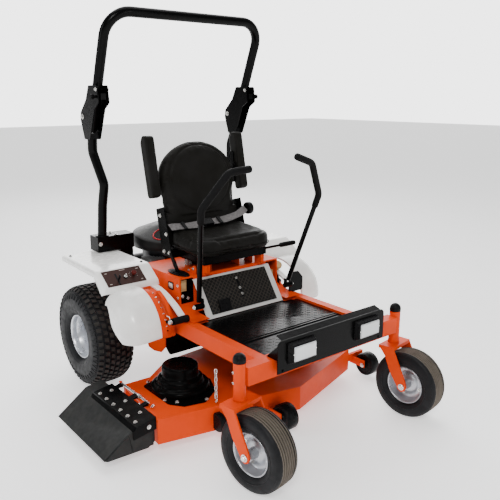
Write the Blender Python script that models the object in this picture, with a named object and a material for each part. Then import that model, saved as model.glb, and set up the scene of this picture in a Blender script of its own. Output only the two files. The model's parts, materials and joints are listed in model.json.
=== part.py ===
"""Zero turn mower: main frame, deck, seat, lap bars, roll bar, wheels, engine and body panels.

Machine frame while modelling: Z = 0 is the ground, X = 0 the middle of the machine, Y = 0 the
line between the two caster kingpins. The front of the machine faces -Y. SIDE -1 is the operator's
right hand (the discharge side), +1 the left. FRAME_SHIFT then centres the whole machine.
"""

import math

import bmesh
import bpy
from mathutils import Matrix, Vector

FRAME_SHIFT = (0.1050, -0.6464, 0.0)
SIDES = {"right": -1, "left": 1}
GAP = 0.0003
X, Y, Z = "X", "Y", "Z"

# Casters
KINGPIN_X = 0.484
KINGPIN_TUBE_R = 0.0255
KINGPIN_LOW, KINGPIN_HIGH, KINGPIN_CAP = 0.352, 0.517, 0.551
STEM_R, STEM_BORE_R, STEM_TOP = 0.0168, 0.0178, 0.500
CASTER_R, CASTER_HALF = 0.166, 0.0625
CASTER_RIM_R, CASTER_TRAIL = 0.0935, 0.101
CASTER_YAW = {"right": math.radians(8.4), "left": math.radians(7.7)}
FORK_ARM = (0.0725, 0.0805)

# Rear wheels
REAR_X, REAR_Y, REAR_R, REAR_HALF = 0.535, 1.222, 0.274, 0.112
REAR_RIM_R = 0.127

# Main frame
RAIL_X = (0.322, 0.372)
RAIL_Z = (0.408, 0.484)
RAIL_END = 1.42
BEAM_Y, BEAM_Z, BEAM_END = 0.030, (0.411, 0.489), 0.463
WALL = 0.003
ENGINE_AXIS = (0.0, 1.31)
ENGINE_DECK_Y = 1.09

# Foot area and console
FLOOR_TOP = 0.471
FLOOR_END = 0.53
KICK_FOOT, KICK_TOP = Vector((0.556, FLOOR_TOP + GAP)), Vector((0.680, 0.648))
KICK_HALF = 0.245
BOX_X, BOX_Y, BOX_Z = 0.3195, (0.6903, 1.055), (0.4716, 0.6645)

# Fenders, controls
FENDER_IN, FENDER_OUT = 0.335, 0.640
FENDER_TOP, FENDER_SKIN = 0.695, 0.005
ARCH_Y, ARCH_Z, ARCH_R = 0.835, 0.410, 0.200
LEVER_R, LEVER_ANGLE = 0.279, math.radians(19.3)

# Roll bar
ROPS_X, ROPS_R = 0.466, 0.025
ROPS_PIVOT = (1.292, 1.430)
ROPS_PIN = (1.122, 1.530)
HOOP_FOOT, HOOP_TOP = (1.2535, 1.362), (1.022, 1.925)

# Deck
DECK_LOW, DECK_HIGH, DECK_WALL = 0.055, 0.175, 0.004
DECK_OUTLINE = [(-0.668, 0.342), (0.030, 0.185), (0.554, 0.350), (0.554, 0.620), (0.480, 0.733),
                (0.320, 0.850), (0.0, 0.880), (-0.320, 0.850), (-0.480, 0.733), (-0.622, 0.740)]
SPINDLES = {"right": (-0.420, 0.545), "centre": (-0.045, 0.420), "left": (0.330, 0.545)}
BLADE_R = 0.178
CHUTE_HINGE = (-0.630, 0.184)
ANTI_SCALP = {"front": (-0.100, 0.145), "left": (0.655, 0.300)}
ANTI_SCALP_R, ANTI_SCALP_HALF, ANTI_SCALP_Z = 0.0635, 0.0325, 0.080

# Seat
SEAT_HINGE = (0.644, 0.7175)
ARM_PIVOT = (1.000, 1.150)

MATERIALS = {
    "orange_paint": ((0.80, 0.13, 0.02), 0.0, 0.35),
    "black_paint": ((0.012, 0.012, 0.013), 0.0, 0.3),
    "fender_paint": ((0.74, 0.73, 0.70), 0.0, 0.35),
    "panel_brown": ((0.06, 0.035, 0.03), 0.0, 0.5),
    "border_grey": ((0.55, 0.55, 0.55), 0.0, 0.4),
    "rim_silver": ((0.62, 0.63, 0.65), 0.6, 0.35),
    "rim_grey": ((0.42, 0.42, 0.42), 0.3, 0.4),
    "tyre_rubber": ((0.018, 0.018, 0.019), 0.0, 0.8),
    "mat_rubber": ((0.02, 0.02, 0.02), 0.0, 0.7),
    "deflector_rubber": ((0.035, 0.035, 0.037), 0.0, 0.7),
    "foam_grip": ((0.015, 0.015, 0.015), 0.0, 0.9),
    "hard_plastic": ((0.02, 0.02, 0.021), 0.0, 0.4),
    "lens_clear": ((0.85, 0.87, 0.88), 0.0, 0.1),
    "seat_vinyl": ((0.035, 0.035, 0.037), 0.0, 0.5),
    "belt_web": ((0.25, 0.25, 0.26), 0.0, 0.8),
    "steel": ((0.50, 0.50, 0.50), 1.0, 0.35),
    "cast_dark": ((0.07, 0.07, 0.072), 0.5, 0.5),
}


def clear_scene():
    for item in list(bpy.data.objects):
        bpy.data.objects.remove(item, do_unlink=True)


def make_material(name):
    colour, metallic, roughness = MATERIALS[name]
    material = bpy.data.materials.new(name)
    material.use_nodes = True
    shader = material.node_tree.nodes["Principled BSDF"]
    shader.inputs["Base Color"].default_value = (*colour, 1.0)
    shader.inputs["Metallic"].default_value = metallic
    shader.inputs["Roughness"].default_value = roughness
    return material


def mesh_object(name, verts, faces):
    mesh = bpy.data.meshes.new(name)
    work = bmesh.new()
    points = [work.verts.new(v) for v in verts]
    for face in faces:
        work.faces.new([points[i] for i in face])
    bmesh.ops.recalc_face_normals(work, faces=work.faces)
    work.to_mesh(mesh)
    work.free()
    item = bpy.data.objects.new(name, mesh)
    bpy.context.scene.collection.objects.link(item)
    return item


def along(axis, u, v, w):
    """A point from two outline coordinates (u, v) and a distance w along the axis."""
    return {X: (w, u, v), Y: (u, w, v), Z: (u, v, w)}[axis]


def prism(name, outline, axis, low, high):
    count = len(outline)
    verts = [along(axis, u, v, w) for w in (low, high) for u, v in outline]
    faces = [list(range(count)), list(range(count, 2 * count))]
    faces += [[i, (i + 1) % count, count + (i + 1) % count, count + i] for i in range(count)]
    return mesh_object(name, verts, faces)


def block(name, low, high):
    outline = [(low[0], low[1]), (high[0], low[1]), (high[0], high[1]), (low[0], high[1])]
    return prism(name, outline, Z, low[2], high[2])


def frustum(name, rect_back, y_back, rect_front, y_front):
    """A four-sided taper along Y; each rect is (x low, x high, z low, z high)."""
    verts = []
    for (x0, x1, z0, z1), y in ((rect_back, y_back), (rect_front, y_front)):
        verts += [(x0, y, z0), (x1, y, z0), (x1, y, z1), (x0, y, z1)]
    faces = [[0, 1, 2, 3], [4, 5, 6, 7]] + [[i, (i + 1) % 4, 4 + (i + 1) % 4, 4 + i] for i in range(4)]
    return mesh_object(name, verts, faces)


def lathe(name, profile, centre, axis, segments=32):
    """A closed (radius, height) profile turned about an axis through centre."""
    direction = Vector(axis).normalized()
    turn = Vector((0, 0, 1)).rotation_difference(direction).to_matrix().to_4x4()
    place = Matrix.Translation(centre) @ turn
    verts, rings = [], []
    for radius, height in profile:
        steps = 1 if radius < 1e-6 else segments
        rings.append(list(range(len(verts), len(verts) + steps)))
        for step in range(steps):
            angle = math.tau * step / segments
            verts.append(place @ Vector((radius * math.cos(angle), radius * math.sin(angle), height)))
    faces = []
    for index, ring in enumerate(rings):
        other = rings[(index + 1) % len(rings)]
        if len(ring) == 1 and len(other) == 1:
            continue
        for step in range(segments):
            after = (step + 1) % segments
            corners = [ring[step % len(ring)], ring[after % len(ring)],
                       other[after % len(other)], other[step % len(other)]]
            faces.append(list(dict.fromkeys(corners)))
    return mesh_object(name, verts, faces)


def disc(name, radius, low, high, centre, axis, segments=24):
    return lathe(name, [(0, low), (radius, low), (radius, high), (0, high)], centre, axis, segments)


def fillet(points, radius, steps=4):
    """A polyline whose inner corners are rounded with arcs of the given radius."""
    points = [Vector(p) for p in points]
    path = [points[0]]
    for before, corner, after in zip(points, points[1:], points[2:]):
        back, ahead = (before - corner).normalized(), (after - corner).normalized()
        half = back.angle(ahead) / 2
        reach = radius / math.tan(half)
        centre = corner + (back + ahead).normalized() * (radius / math.sin(half))
        start, end = corner + back * reach - centre, corner + ahead * reach - centre
        sweep = start.angle(end)
        for step in range(steps + 1):
            t = step / steps
            mix = (start * math.sin((1 - t) * sweep) + end * math.sin(t * sweep)) / math.sin(sweep)
            path.append(centre + mix)
    path.append(points[-1])
    return path


def tube(name, path, radius, sides=10):
    path = [Vector(p) for p in path]
    tangents = []
    for index, point in enumerate(path):
        before, after = path[max(index - 1, 0)], path[min(index + 1, len(path) - 1)]
        tangents.append(((point - before).normalized() + (after - point).normalized()).normalized())
    normal = tangents[0].orthogonal().normalized()
    verts = []
    for index, (point, tangent) in enumerate(zip(path, tangents)):
        if index:
            normal = tangents[index - 1].rotation_difference(tangent) @ normal
        binormal = tangent.cross(normal)
        for side in range(sides):
            angle = math.tau * side / sides
            verts.append(point + radius * (math.cos(angle) * normal + math.sin(angle) * binormal))
    faces = [list(range(sides)), list(range(len(verts) - sides, len(verts)))]
    for ring in range(len(path) - 1):
        base = ring * sides
        faces += [[base + i, base + (i + 1) % sides, base + sides + (i + 1) % sides, base + sides + i]
                  for i in range(sides)]
    return mesh_object(name, verts, faces)


def combine(target, tools, operation):
    for tool in tools:
        modifier = target.modifiers.new(operation.lower(), "BOOLEAN")
        modifier.operation = operation
        modifier.solver = "EXACT"
        modifier.object = tool
        graph = bpy.context.evaluated_depsgraph_get()
        mesh = bpy.data.meshes.new_from_object(target.evaluated_get(graph))
        target.modifiers.clear()
        target.data = mesh
        bpy.data.objects.remove(tool, do_unlink=True)
    return target


def union(target, *tools):
    return combine(target, tools, "UNION")


def cut(target, *tools):
    return combine(target, tools, "DIFFERENCE")


def offset_outline(outline, distance):
    """The outline moved inwards by distance (corners from neighbouring offset edges)."""
    moved = []
    count = len(outline)
    for index in range(count):
        before, here, after = (Vector(outline[(index + k) % count]) for k in (-1, 0, 1))
        first, second = (here - before).normalized(), (after - here).normalized()
        normals = [Vector((-edge.y, edge.x)) for edge in (first, second)]
        shift = (normals[0] + normals[1]) / (1 + normals[0].dot(normals[1]))
        moved.append(tuple(here + shift * distance))
    return moved


def arc(centre, radius, start, end, steps):
    """Points on a circle in an outline plane; angles in degrees from the forward (-u) direction."""
    points = []
    for step in range(steps + 1):
        angle = math.radians(start + (end - start) * step / steps)
        points.append((centre[0] - radius * math.cos(angle), centre[1] + radius * math.sin(angle)))
    return points


def arc_sheet(name, centre, radii, start, end, steps, low, high):
    outline = arc(centre, radii[1], start, end, steps) + arc(centre, radii[0], end, start, steps)
    return prism(name, outline, X, low, high)


def span(side, low, high):
    """An X range given as distances from the middle, on the chosen side."""
    return sorted((side * low, side * high))


def finish(item, material, origin=None, smooth=True):
    """Give the object its material, and put its origin where it turns or slides."""
    item.data.materials.clear()
    item.data.materials.append(material)
    if smooth:
        item.data.shade_smooth()
        item.data.set_sharp_from_angle(angle=math.radians(35))
    centre = Vector(origin) if origin else sum((Vector(c) for c in item.bound_box), Vector()) / 8
    item.data.transform(Matrix.Translation(-centre))
    item.location = centre
    return item


def main_frame():
    x0, x1 = RAIL_X
    frame = block("main_frame", (-BEAM_END, -BEAM_Y, BEAM_Z[0]), (BEAM_END, BEAM_Y, BEAM_Z[1]))
    beam_end = BEAM_END - 0.03
    cut(frame, block("beam_hollow", (-beam_end, WALL - BEAM_Y, BEAM_Z[0] - 0.01),
                     (beam_end, BEAM_Y - WALL, BEAM_Z[1] - WALL)))
    for side in SIDES.values():
        low, high = span(side, x0, x1)
        rail = block("rail", (low, BEAM_Y - WALL * 0.6, RAIL_Z[0]), (high, RAIL_END, RAIL_Z[1]))
        cut(rail, block("rail_hollow", (low + WALL, BEAM_Y + 0.01, RAIL_Z[0] + WALL),
                        (high - WALL, RAIL_END + 0.01, RAIL_Z[1] - WALL)))
        profile = [(STEM_BORE_R, KINGPIN_LOW), (KINGPIN_TUBE_R, KINGPIN_LOW), (KINGPIN_TUBE_R, KINGPIN_HIGH),
                   (0.024, KINGPIN_HIGH + 0.014), (0.015, KINGPIN_CAP - 0.007), (0, KINGPIN_CAP),
                   (0, STEM_TOP + 0.005), (STEM_BORE_R, STEM_TOP + 0.005)]
        kingpin = lathe("kingpin", profile, (side * KINGPIN_X, 0, 0), (0, 0, 1), 16)
        union(frame, rail, kingpin)
    inner = x0 + 0.001
    deck_top = RAIL_Z[1] - 0.001
    deck = block("engine_deck", (-inner, ENGINE_DECK_Y, deck_top - 0.008),
                 (inner, RAIL_END - 0.006, deck_top))
    rear = block("rear_member", (-inner, RAIL_END - 0.012, RAIL_Z[0] + 0.001),
                 (inner, RAIL_END - 0.002, deck_top - 0.001))
    union(frame, deck, rear)
    return cut(frame, disc("crank_hole", 0.05, 0.46, 0.50, (*ENGINE_AXIS, 0), (0, 0, 1)))


def floor_plate():
    edge = RAIL_X[0] - GAP
    front = BEAM_Y + GAP
    plate = block("floor_plate", (-edge, front, FLOOR_TOP - 0.005), (edge, FLOOR_END, FLOOR_TOP))
    for ridge in (0.214, 0.232):
        union(plate, block("ridge", (-0.31, ridge, FLOOR_TOP - 0.001), (0.31, ridge + 0.009, 0.476)))
    return plate


def slope_axes():
    run = (KICK_TOP - KICK_FOOT).normalized()
    return run, Vector((-run.y, run.x))


def kick_plate():
    run, normal = slope_axes()
    back = [KICK_TOP - normal * 0.004, KICK_FOOT + Vector((0.0048, 0))]
    outline = [tuple(p) for p in (KICK_FOOT, KICK_TOP, *back)]
    plate = prism("kick_plate", outline, X, -KICK_HALF, KICK_HALF)
    lip = block("kick_lip", (-KICK_HALF, KICK_TOP.x - 0.001, KICK_TOP.y - 0.004),
                (KICK_HALF, BOX_Y[0] - GAP, KICK_TOP.y))
    return union(plate, lip)


def kick_mat():
    run, normal = slope_axes()
    corners = [(0.018, GAP), (0.205, GAP), (0.205, 0.0055), (0.018, 0.0055)]
    outline = [tuple(KICK_FOOT + run * s + normal * h) for s, h in corners]
    return prism("kick_mat", outline, X, -0.2095, 0.2095)


def light_panel():
    outline = [(-0.33, 0.430), (0.33, 0.430), *arc((0.305, 0.548), 0.025, 180, 90, 3),
               *arc((-0.305, 0.548), 0.025, 90, 0, 3)]
    panel = prism("light_panel", outline, Y, -0.054, -0.050)
    lip = prism("panel_lip", [(-0.051, 0.569), (-0.051, 0.573), (-0.016, 0.585), (-0.016, 0.581)],
                X, -0.305, 0.305)
    union(panel, lip)
    cheek_outline = [(-0.051, 0.552), (-0.051, 0.4895), (0.018, 0.4895)]
    for side in SIDES.values():
        union(panel, prism("cheek", cheek_outline, X, *span(side, 0.326, 0.3295)))
    return panel


def headlight_housing(name, side):
    back = (*span(side, 0.125, 0.278), 0.462, 0.556)
    front = (*span(side, 0.136, 0.267), 0.472, 0.546)
    return frustum(name, back, -0.054 - GAP, front, -0.080)


def headlight_lens(name, side):
    back = (*span(side, 0.140, 0.263), 0.476, 0.542)
    front = (*span(side, 0.144, 0.259), 0.480, 0.538)
    return frustum(name, back, -0.080 - GAP, front, -0.087)


def seat_box():
    (y0, y1), (z0, z1) = BOX_Y, BOX_Z
    shell = block("seat_box", (-BOX_X, y0, z0), (BOX_X, y1, z1))
    cut(shell, block("box_hollow", (0.004 - BOX_X, y0 + 0.004, z0 - 0.01),
                     (BOX_X - 0.004, y1 - 0.004, z1 - 0.004)))
    wing = [(0.535, 0.4845), (y0 + 0.01, 0.4845), (y0 + 0.01, 0.528), (y0 - 0.06, 0.492), (0.535, 0.4885)]
    for side in SIDES.values():
        union(shell, prism("wing", wing, X, *span(side, KICK_HALF + 0.003, 0.346)))
        low, high = span(side, 0.235, 0.310)
        cut(shell, block("front_opening", (low, y0 - 0.02, 0.530), (high, y0 + 0.02, 0.656)))
        low, high = span(side, 0.165, 0.185)
        union(shell, block("seat_post", (low, 0.664, z1 - 0.002), (high, 0.700, z1 + 0.03)),
              block("seat_ear", (low, 0.645, z1 + 0.01), (high, 0.70, 0.7165)))
    return shell


def fender_profile():
    """Outer line of the fender skin in side view, from the rear edge to the front lip."""
    return [(1.400, FENDER_TOP - 0.004), (1.385, FENDER_TOP), (0.955, FENDER_TOP), (0.862, 0.628),
            (0.853, 0.603)]


def skin(name, line, thickness, low, high):
    """A sheet below a line in side view, running along X."""
    inner = []
    count = len(line)
    for index in range(count):
        before, after = Vector(line[max(index - 1, 0)]), Vector(line[min(index + 1, count - 1)])
        run = (after - before).normalized()
        inner.append((line[index][0] - run.y * thickness, line[index][1] + run.x * thickness))
    return prism(name, line + inner[::-1], X, low, high)


def fender(name, side):
    shell = skin(name, fender_profile(), FENDER_SKIN, *span(side, FENDER_IN, FENDER_OUT))
    centre = (ARCH_Y, ARCH_Z)
    radii = (ARCH_R, ARCH_R + FENDER_SKIN)
    front = arc_sheet("front", centre, radii, -3, 100, 9, *span(side, 0.440, FENDER_OUT))
    strip_line = [(0.870, 0.606), (0.772, 0.589), (0.680, 0.555), (0.602, 0.510)]
    strip = skin("strip", strip_line, FENDER_SKIN, *span(side, 0.353, 0.402))
    outer = arc(centre, ARCH_R + FENDER_SKIN / 2, 0, 95, 8)
    top_edge = [(0.864, 0.628), (0.955, FENDER_TOP - 0.001), (1.385, FENDER_TOP - 0.001)]
    wheel_edge = [(1.385, 0.668), (0.975, 0.662), (0.884, 0.572), (0.830, 0.485), (0.785, 0.427),
                  (0.716, 0.403), (0.660, 0.400)]
    low, high = span(side, FENDER_OUT - FENDER_SKIN - 0.001, FENDER_OUT - 0.001)
    cheek = prism("cheek", outer + top_edge + wheel_edge, X, low, high)
    return union(shell, front, strip, cheek)


def panel_frame():
    """Origin, uphill direction and normal of the sloped control face, in the YZ plane."""
    low, high = Vector((0.862, 0.628)), Vector((0.955, FENDER_TOP))
    run = (high - low).normalized()
    return low, run, Vector((-run.y, run.x))


def panel_point(distance, height):
    low, run, normal = panel_frame()
    return low + run * distance + normal * height


def control_panel():
    corners = [(0.006, GAP), (0.106, GAP), (0.106, 0.003), (0.006, 0.003)]
    outline = [tuple(panel_point(*corner)) for corner in corners]
    return prism("control_panel", outline, X, -0.610, -0.400)


def pto_knob():
    normal = panel_frame()[2]
    foot = panel_point(0.055, 0.003 + GAP)
    profile = [(0, 0), (0.006, 0), (0.006, 0.010), (0.013, 0.014), (0.013, 0.022), (0, 0.024)]
    knob = lathe("pto_knob", profile, (-0.455, foot.x, foot.y), (0, normal.x, normal.y), 20)
    return knob, (-0.455, foot.x, foot.y)


def throttle_lever():
    root = panel_point(0.035, 0.010)
    run, normal = panel_frame()[1:]
    corners = [(-0.004, -0.004), (0.004, -0.004), (0.005, 0.020), (0.009, 0.030), (-0.009, 0.030),
               (-0.005, 0.020)]
    outline = [tuple(root + run * a + normal * b) for a, b in corners]
    return prism("throttle_lever", outline, X, -0.548, -0.542), (-0.545, root.x, root.y)


def height_quadrant():
    radii = (0.176, 0.180)
    centre = (ARCH_Y, ARCH_Z)
    plate = arc_sheet("height_quadrant", centre, radii, -6, 98, 9, -0.437, -0.3755)
    slot = arc_sheet("slot", centre, (0.17, 0.21), 4, 70, 7, -0.428, -0.400)
    web = [(0.660, 0.405), (0.830, 0.405), (0.830, 0.590), *arc(centre, 0.178, 85, 0, 6)]
    return union(cut(plate, slot), prism("web", web, X, -0.3795, -0.3755))


def height_lever():
    tip = Vector((ARCH_Y - LEVER_R * math.cos(LEVER_ANGLE), ARCH_Z + LEVER_R * math.sin(LEVER_ANGLE)))
    run = (tip - Vector((ARCH_Y, ARCH_Z))).normalized()
    across = Vector((-run.y, run.x)) * 0.008
    root = Vector((ARCH_Y, ARCH_Z))
    outline = [tuple(p) for p in (root - across, root + across, tip + across, tip - across)]
    arm = prism("height_lever", outline, X, -0.418, -0.410)
    hub = disc("hub", 0.016, -0.424, -0.404, (0, ARCH_Y, ARCH_Z), (1, 0, 0), 16)
    grip = disc("grip", 0.0165, -0.440, -0.350, (0, tip.x, tip.y), (1, 0, 0), 20)
    return union(arm, hub, grip)


def rops_bracket_outline():
    return [(1.222, 1.315), (1.285, 1.315), (1.320, 1.412), (1.314, 1.452), (1.245, 1.515),
            (1.208, 1.585), (1.112, 1.585), (1.100, 1.500), (1.150, 1.470)]


def rops_post(name, side):
    path = [(side * 0.415, 1.320, 0.76), (side * 0.420, 1.281, 0.962), (side * 0.420, 1.246, 1.076),
            (side * 0.455, 1.290, 1.250), (side * ROPS_X, 1.2560, 1.345)]
    post = tube(name, fillet(path, 0.06, 3), ROPS_R)
    low, high = span(side, 0.236, 0.455)
    shelf = block("shelf", (low, 1.290, FENDER_TOP + 0.005), (high, 1.390, 0.783))
    low, high = span(side, 0.238, 0.318)
    upright = block("upright", (low, 1.300, RAIL_Z[1] + GAP), (high, 1.380, 0.72))
    union(post, shelf, upright)
    plug = block("plug", (side * ROPS_X - 0.028, 1.228, 1.316), (side * ROPS_X + 0.028, 1.283, 1.348))
    union(post, plug)
    for offset in (-1, 1):
        low, high = sorted((side * ROPS_X + offset * 0.0258, side * ROPS_X + offset * 0.0308))
        union(post, prism("ear", rops_bracket_outline(), X, low, high))
    union(post, disc("hinge_bolt", 0.0065, ROPS_X - 0.037, ROPS_X + 0.037,
                     (0, *ROPS_PIVOT), (side, 0, 0), 12))
    return cut(post, disc("pin_hole", 0.0075, ROPS_X + 0.02, ROPS_X + 0.04,
                          (0, *ROPS_PIN), (side, 0, 0), 12))


def rops_pin(name, side):
    profile = [(0, 0.0262), (0.0065, 0.0262), (0.0065, 0.044), (0.013, 0.044), (0.013, 0.060), (0, 0.060)]
    origin = (side * ROPS_X, *ROPS_PIN)
    return lathe(name, profile, origin, (side, 0, 0), 12), origin


def rops_hoop():
    legs = [(-ROPS_X, *HOOP_FOOT), (-ROPS_X, *HOOP_TOP), (ROPS_X, *HOOP_TOP), (ROPS_X, *HOOP_FOOT)]
    hoop = tube("rops_hoop", fillet(legs, 0.125, 5), ROPS_R)
    rear_lug = [(1.235, 1.405), (ROPS_PIVOT[0], 1.412), (1.309, ROPS_PIVOT[1]), (ROPS_PIVOT[0], 1.448),
                (1.225, 1.455)]
    front_lug = [(1.185, 1.515), (1.105, 1.515), (1.105, 1.545), (1.175, 1.545)]
    for side in SIDES.values():
        low, high = span(side, ROPS_X - 0.014, ROPS_X + 0.014)
        union(hoop, prism("rear_lug", rear_lug, X, low, high), prism("front_lug", front_lug, X, low, high))
    return cut(hoop, disc("pivot_bore", 0.0072, -0.6, 0.6, (0, *ROPS_PIVOT), (1, 0, 0), 16))


def engine_block():
    centre = (*ENGINE_AXIS, 0)
    foot = RAIL_Z[1] + GAP
    block_body = lathe("engine_block", [(0, foot), (0.135, foot), (0.135, 0.56), (0.155, 0.60),
                                        (0.155, 0.679), (0, 0.679)], centre, (0, 0, 1), 24)
    for side in SIDES.values():
        low, high = span(side, 0.05, 0.205)
        union(block_body, block("cylinder", (low, 1.175, 0.515), (high, 1.290, 0.640)))
    return block_body


def blower_cover():
    profile = [(0, 0.810), (0.085, 0.804), (0.150, 0.782), (0.196, 0.738), (0.210, 0.6795),
               (0.206, 0.6795), (0.192, 0.735), (0.148, 0.778), (0.084, 0.800), (0, 0.806)]
    return lathe("blower_cover", profile, (*ENGINE_AXIS, 0), (0, 0, 1), 24)


def muffler():
    body = disc("muffler", 0.045, -0.15, 0.15, (0, 1.515, 0.550), (1, 0, 0), 20)
    tail = tube("tail", [(0.10, 1.515, 0.520), (0.10, 1.515, 0.450)], 0.016)
    return union(body, tail)


def transaxle(name, side):
    low, high = span(side, 0.205, 0.380)
    body = block(name, (low, 1.150, 0.205), (high, 1.300, 0.345))
    low, high = span(side, 0.325, 0.368)
    union(body, block("mount", (low, 1.170, 0.30), (high, 1.280, RAIL_Z[0] - GAP)))
    pump = disc("pump", 0.052, 0.30, 0.40, (side * 0.262, 1.115, 0), (0, 0, 1), 20)
    link = block("link", (side * 0.262 - 0.03, 1.13, 0.30), (side * 0.262 + 0.03, 1.20, 0.34))
    axle = disc("axle", 0.022, 0.37, 0.4375, (0, REAR_Y, REAR_R), (side, 0, 0), 20)
    return union(body, link, pump, axle)


def tyre(name, centre, axis, radius, half, bore, shoulder, segments):
    """A tyre ring: bead, rounded side wall, shoulder and tread, the same on both sides."""
    edge = [(bore, half * 0.80), (bore + 0.35 * (radius - bore), half), (radius - shoulder, half * 0.95),
            (radius - shoulder * 0.25, half * 0.74), (radius, half * 0.45)]
    profile = edge + [(r, -h) for r, h in reversed(edge)]
    return lathe(name, profile, centre, axis, segments)


def rim(name, centre, axis, radius, half, disc_at, hub, bore, segments):
    """A dished rim: barrel between two lips, a disc at disc_at, and a hub with a bore."""
    inner = radius - 0.006
    profile = [(bore, hub[0]), (0.030, hub[0]), (0.034, disc_at - 0.008), (inner - 0.004, disc_at - 0.010),
               (inner, -half), (radius, -half), (radius, half), (inner, half),
               (inner - 0.008, disc_at + 0.010), (0.034, disc_at), (0.030, hub[1]), (bore, hub[1])]
    if bore == 0:
        profile[0], profile[-1] = (0, hub[0]), (0, hub[1])
    return lathe(name, profile, centre, axis, segments)


def caster_frame(name):
    """Forward and axle directions of a caster that stands turned by its yaw, and its axle point."""
    yaw = CASTER_YAW[name]
    forward = Vector((math.sin(yaw), -math.cos(yaw), 0))
    kingpin = Vector((SIDES[name] * KINGPIN_X, 0, 0))
    axle = kingpin + forward * CASTER_TRAIL + Vector((0, 0, CASTER_R))
    return kingpin, forward, Vector((math.cos(yaw), math.sin(yaw), 0)), axle


def caster_fork(name, key):
    kingpin, forward, across, axle = caster_frame(key)
    place = Matrix((
        (across.x, -forward.x, 0, kingpin.x), (across.y, -forward.y, 0, kingpin.y), (0, 0, 1, 0),
        (0, 0, 0, 1)))
    fork = block(name, (-0.0805, -0.046, 0.333), (0.0805, 0.034, KINGPIN_LOW - 0.001))
    strap = [(0.034, 0.345), (-0.046, 0.345), (-0.120, 0.195), (-0.126, 0.166), (-0.118, 0.148),
             (-0.101, 0.141), (-0.084, 0.148), (-0.076, 0.166), (-0.036, 0.225), (-0.004, 0.300)]
    for side in SIDES.values():
        union(fork, prism("strap", strap, X, *span(side, *FORK_ARM)))
    axle_at = (0, -CASTER_TRAIL, CASTER_R)
    union(fork, disc("stem", STEM_R, 0.34, STEM_TOP, (0, 0, 0), (0, 0, 1), 20),
          disc("axle", 0.0080, -0.088, 0.088, axle_at, (1, 0, 0), 16))
    fork.data.transform(place)
    return fork, kingpin


def lap_path(side):
    return [Vector((side * 0.289, 0.566, 0.575)), Vector((side * 0.363, 0.425, 1.047)),
            Vector((side * 0.252, 0.367, 1.214)), Vector((side * 0.140, 0.357, 1.240))]


def lap_split(side):
    """Where the foam grip starts, a little below the lower bend."""
    path = lap_path(side)
    run = (path[1] - path[0]).normalized()
    return path[1] - run * 0.065, run


def lap_base(name, side):
    low, high = span(side, 0.262, 0.316)
    hub = disc(name, 0.014, low, high, (0, 0.566, 0.548), (1, 0, 0), 16)
    low, high = span(side, 0.2665, 0.2725)
    ears = block("ear", (low, 0.556, 0.548), (high, 0.576, 0.585))
    union(hub, ears)
    return hub, (side * 0.289, 0.566, 0.548)


def lap_bar(name, side):
    path = lap_path(side)
    split, run = lap_split(side)
    bar = tube(name, [path[0], split - run * 0.0002], 0.0125)
    return bar, tuple(path[0] + Vector((0, 0, 0.004)))


def lap_grip(name, side):
    path = lap_path(side)
    split, run = lap_split(side)
    return tube(name, fillet([split + run * 0.0002, *path[1:]], 0.05, 4), 0.0170)


def deck_shell():
    shell = prism("deck_shell", DECK_OUTLINE, Z, DECK_LOW, DECK_HIGH)
    inner = offset_outline(DECK_OUTLINE, DECK_WALL)
    cut(shell, prism("deck_hollow", inner, Z, DECK_LOW - 0.01, DECK_HIGH - DECK_WALL))
    cut(shell, block("discharge", (-0.70, 0.400, DECK_LOW - 0.01), (-0.60, 0.715, DECK_HIGH - 0.010)))
    for spindle in SPINDLES.values():
        cut(shell, disc("spindle_hole", 0.030, 0.16, 0.19, (*spindle, 0), (0, 0, 1), 12))
    for key, (x, y) in ANTI_SCALP.items():
        rear = {"front": y + 0.095, "left": y + 0.092}[key]
        cross = {"front": (x - 0.045, x + 0.045), "left": (0.552, x + 0.045)}[key]
        bar = block("cross", (cross[0], rear - 0.018, 0.085), (cross[1], rear, 0.125))
        for offset in (-0.0425, 0.0375):
            union(bar, block("arm", (x + offset, y - 0.014, ANTI_SCALP_Z - 0.012),
                             (x + offset + 0.005, rear, ANTI_SCALP_Z + 0.030)))
        union(bar, disc("axle", 0.006, x - 0.046, x + 0.046, (0, y, ANTI_SCALP_Z), (1, 0, 0), 10))
        union(shell, bar)
    lugs = [block("lug", (CHUTE_HINGE[0] - 0.006, y, 0.170), (CHUTE_HINGE[0] + 0.006, y + 0.012, 0.192))
            for y in (0.455, 0.743)]
    rod = disc("rod", 0.005, 0.450, 0.760, (CHUTE_HINGE[0], 0, CHUTE_HINGE[1]), (0, 1, 0), 10)
    return union(shell, *lugs, rod)


def belt_cover(name, key):
    x, y = SPINDLES[key]
    foot = DECK_HIGH + GAP
    flange = [(x - 0.14, y - 0.115), (x - 0.095, y - 0.179), (x + 0.005, y - 0.205), (x + 0.11, y - 0.135),
              (x + 0.16, y - 0.02), (x + 0.11, y + 0.135), (x - 0.02, y + 0.160), (x - 0.14, y + 0.115)]
    if key == "left":
        flange = [(2 * x - u, v) for u, v in reversed(flange)]
    cover = prism(name, flange, Z, foot, foot + 0.004)
    dome = [(0.142, foot), (0.142, 0.200), (0.112, 0.232), (0.087, 0.252), (0.087, 0.294), (0, 0.302),
            (0, 0.299), (0.084, 0.291), (0.084, 0.249), (0.109, 0.229), (0.139, 0.198), (0.139, foot)]
    hole = disc("clear", 0.1405, 0.16, foot + 0.006, (x, y, 0), (0, 0, 1), 20)
    return union(cut(cover, hole), lathe("dome", dome, (x, y, 0), (0, 0, 1), 20))


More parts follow.
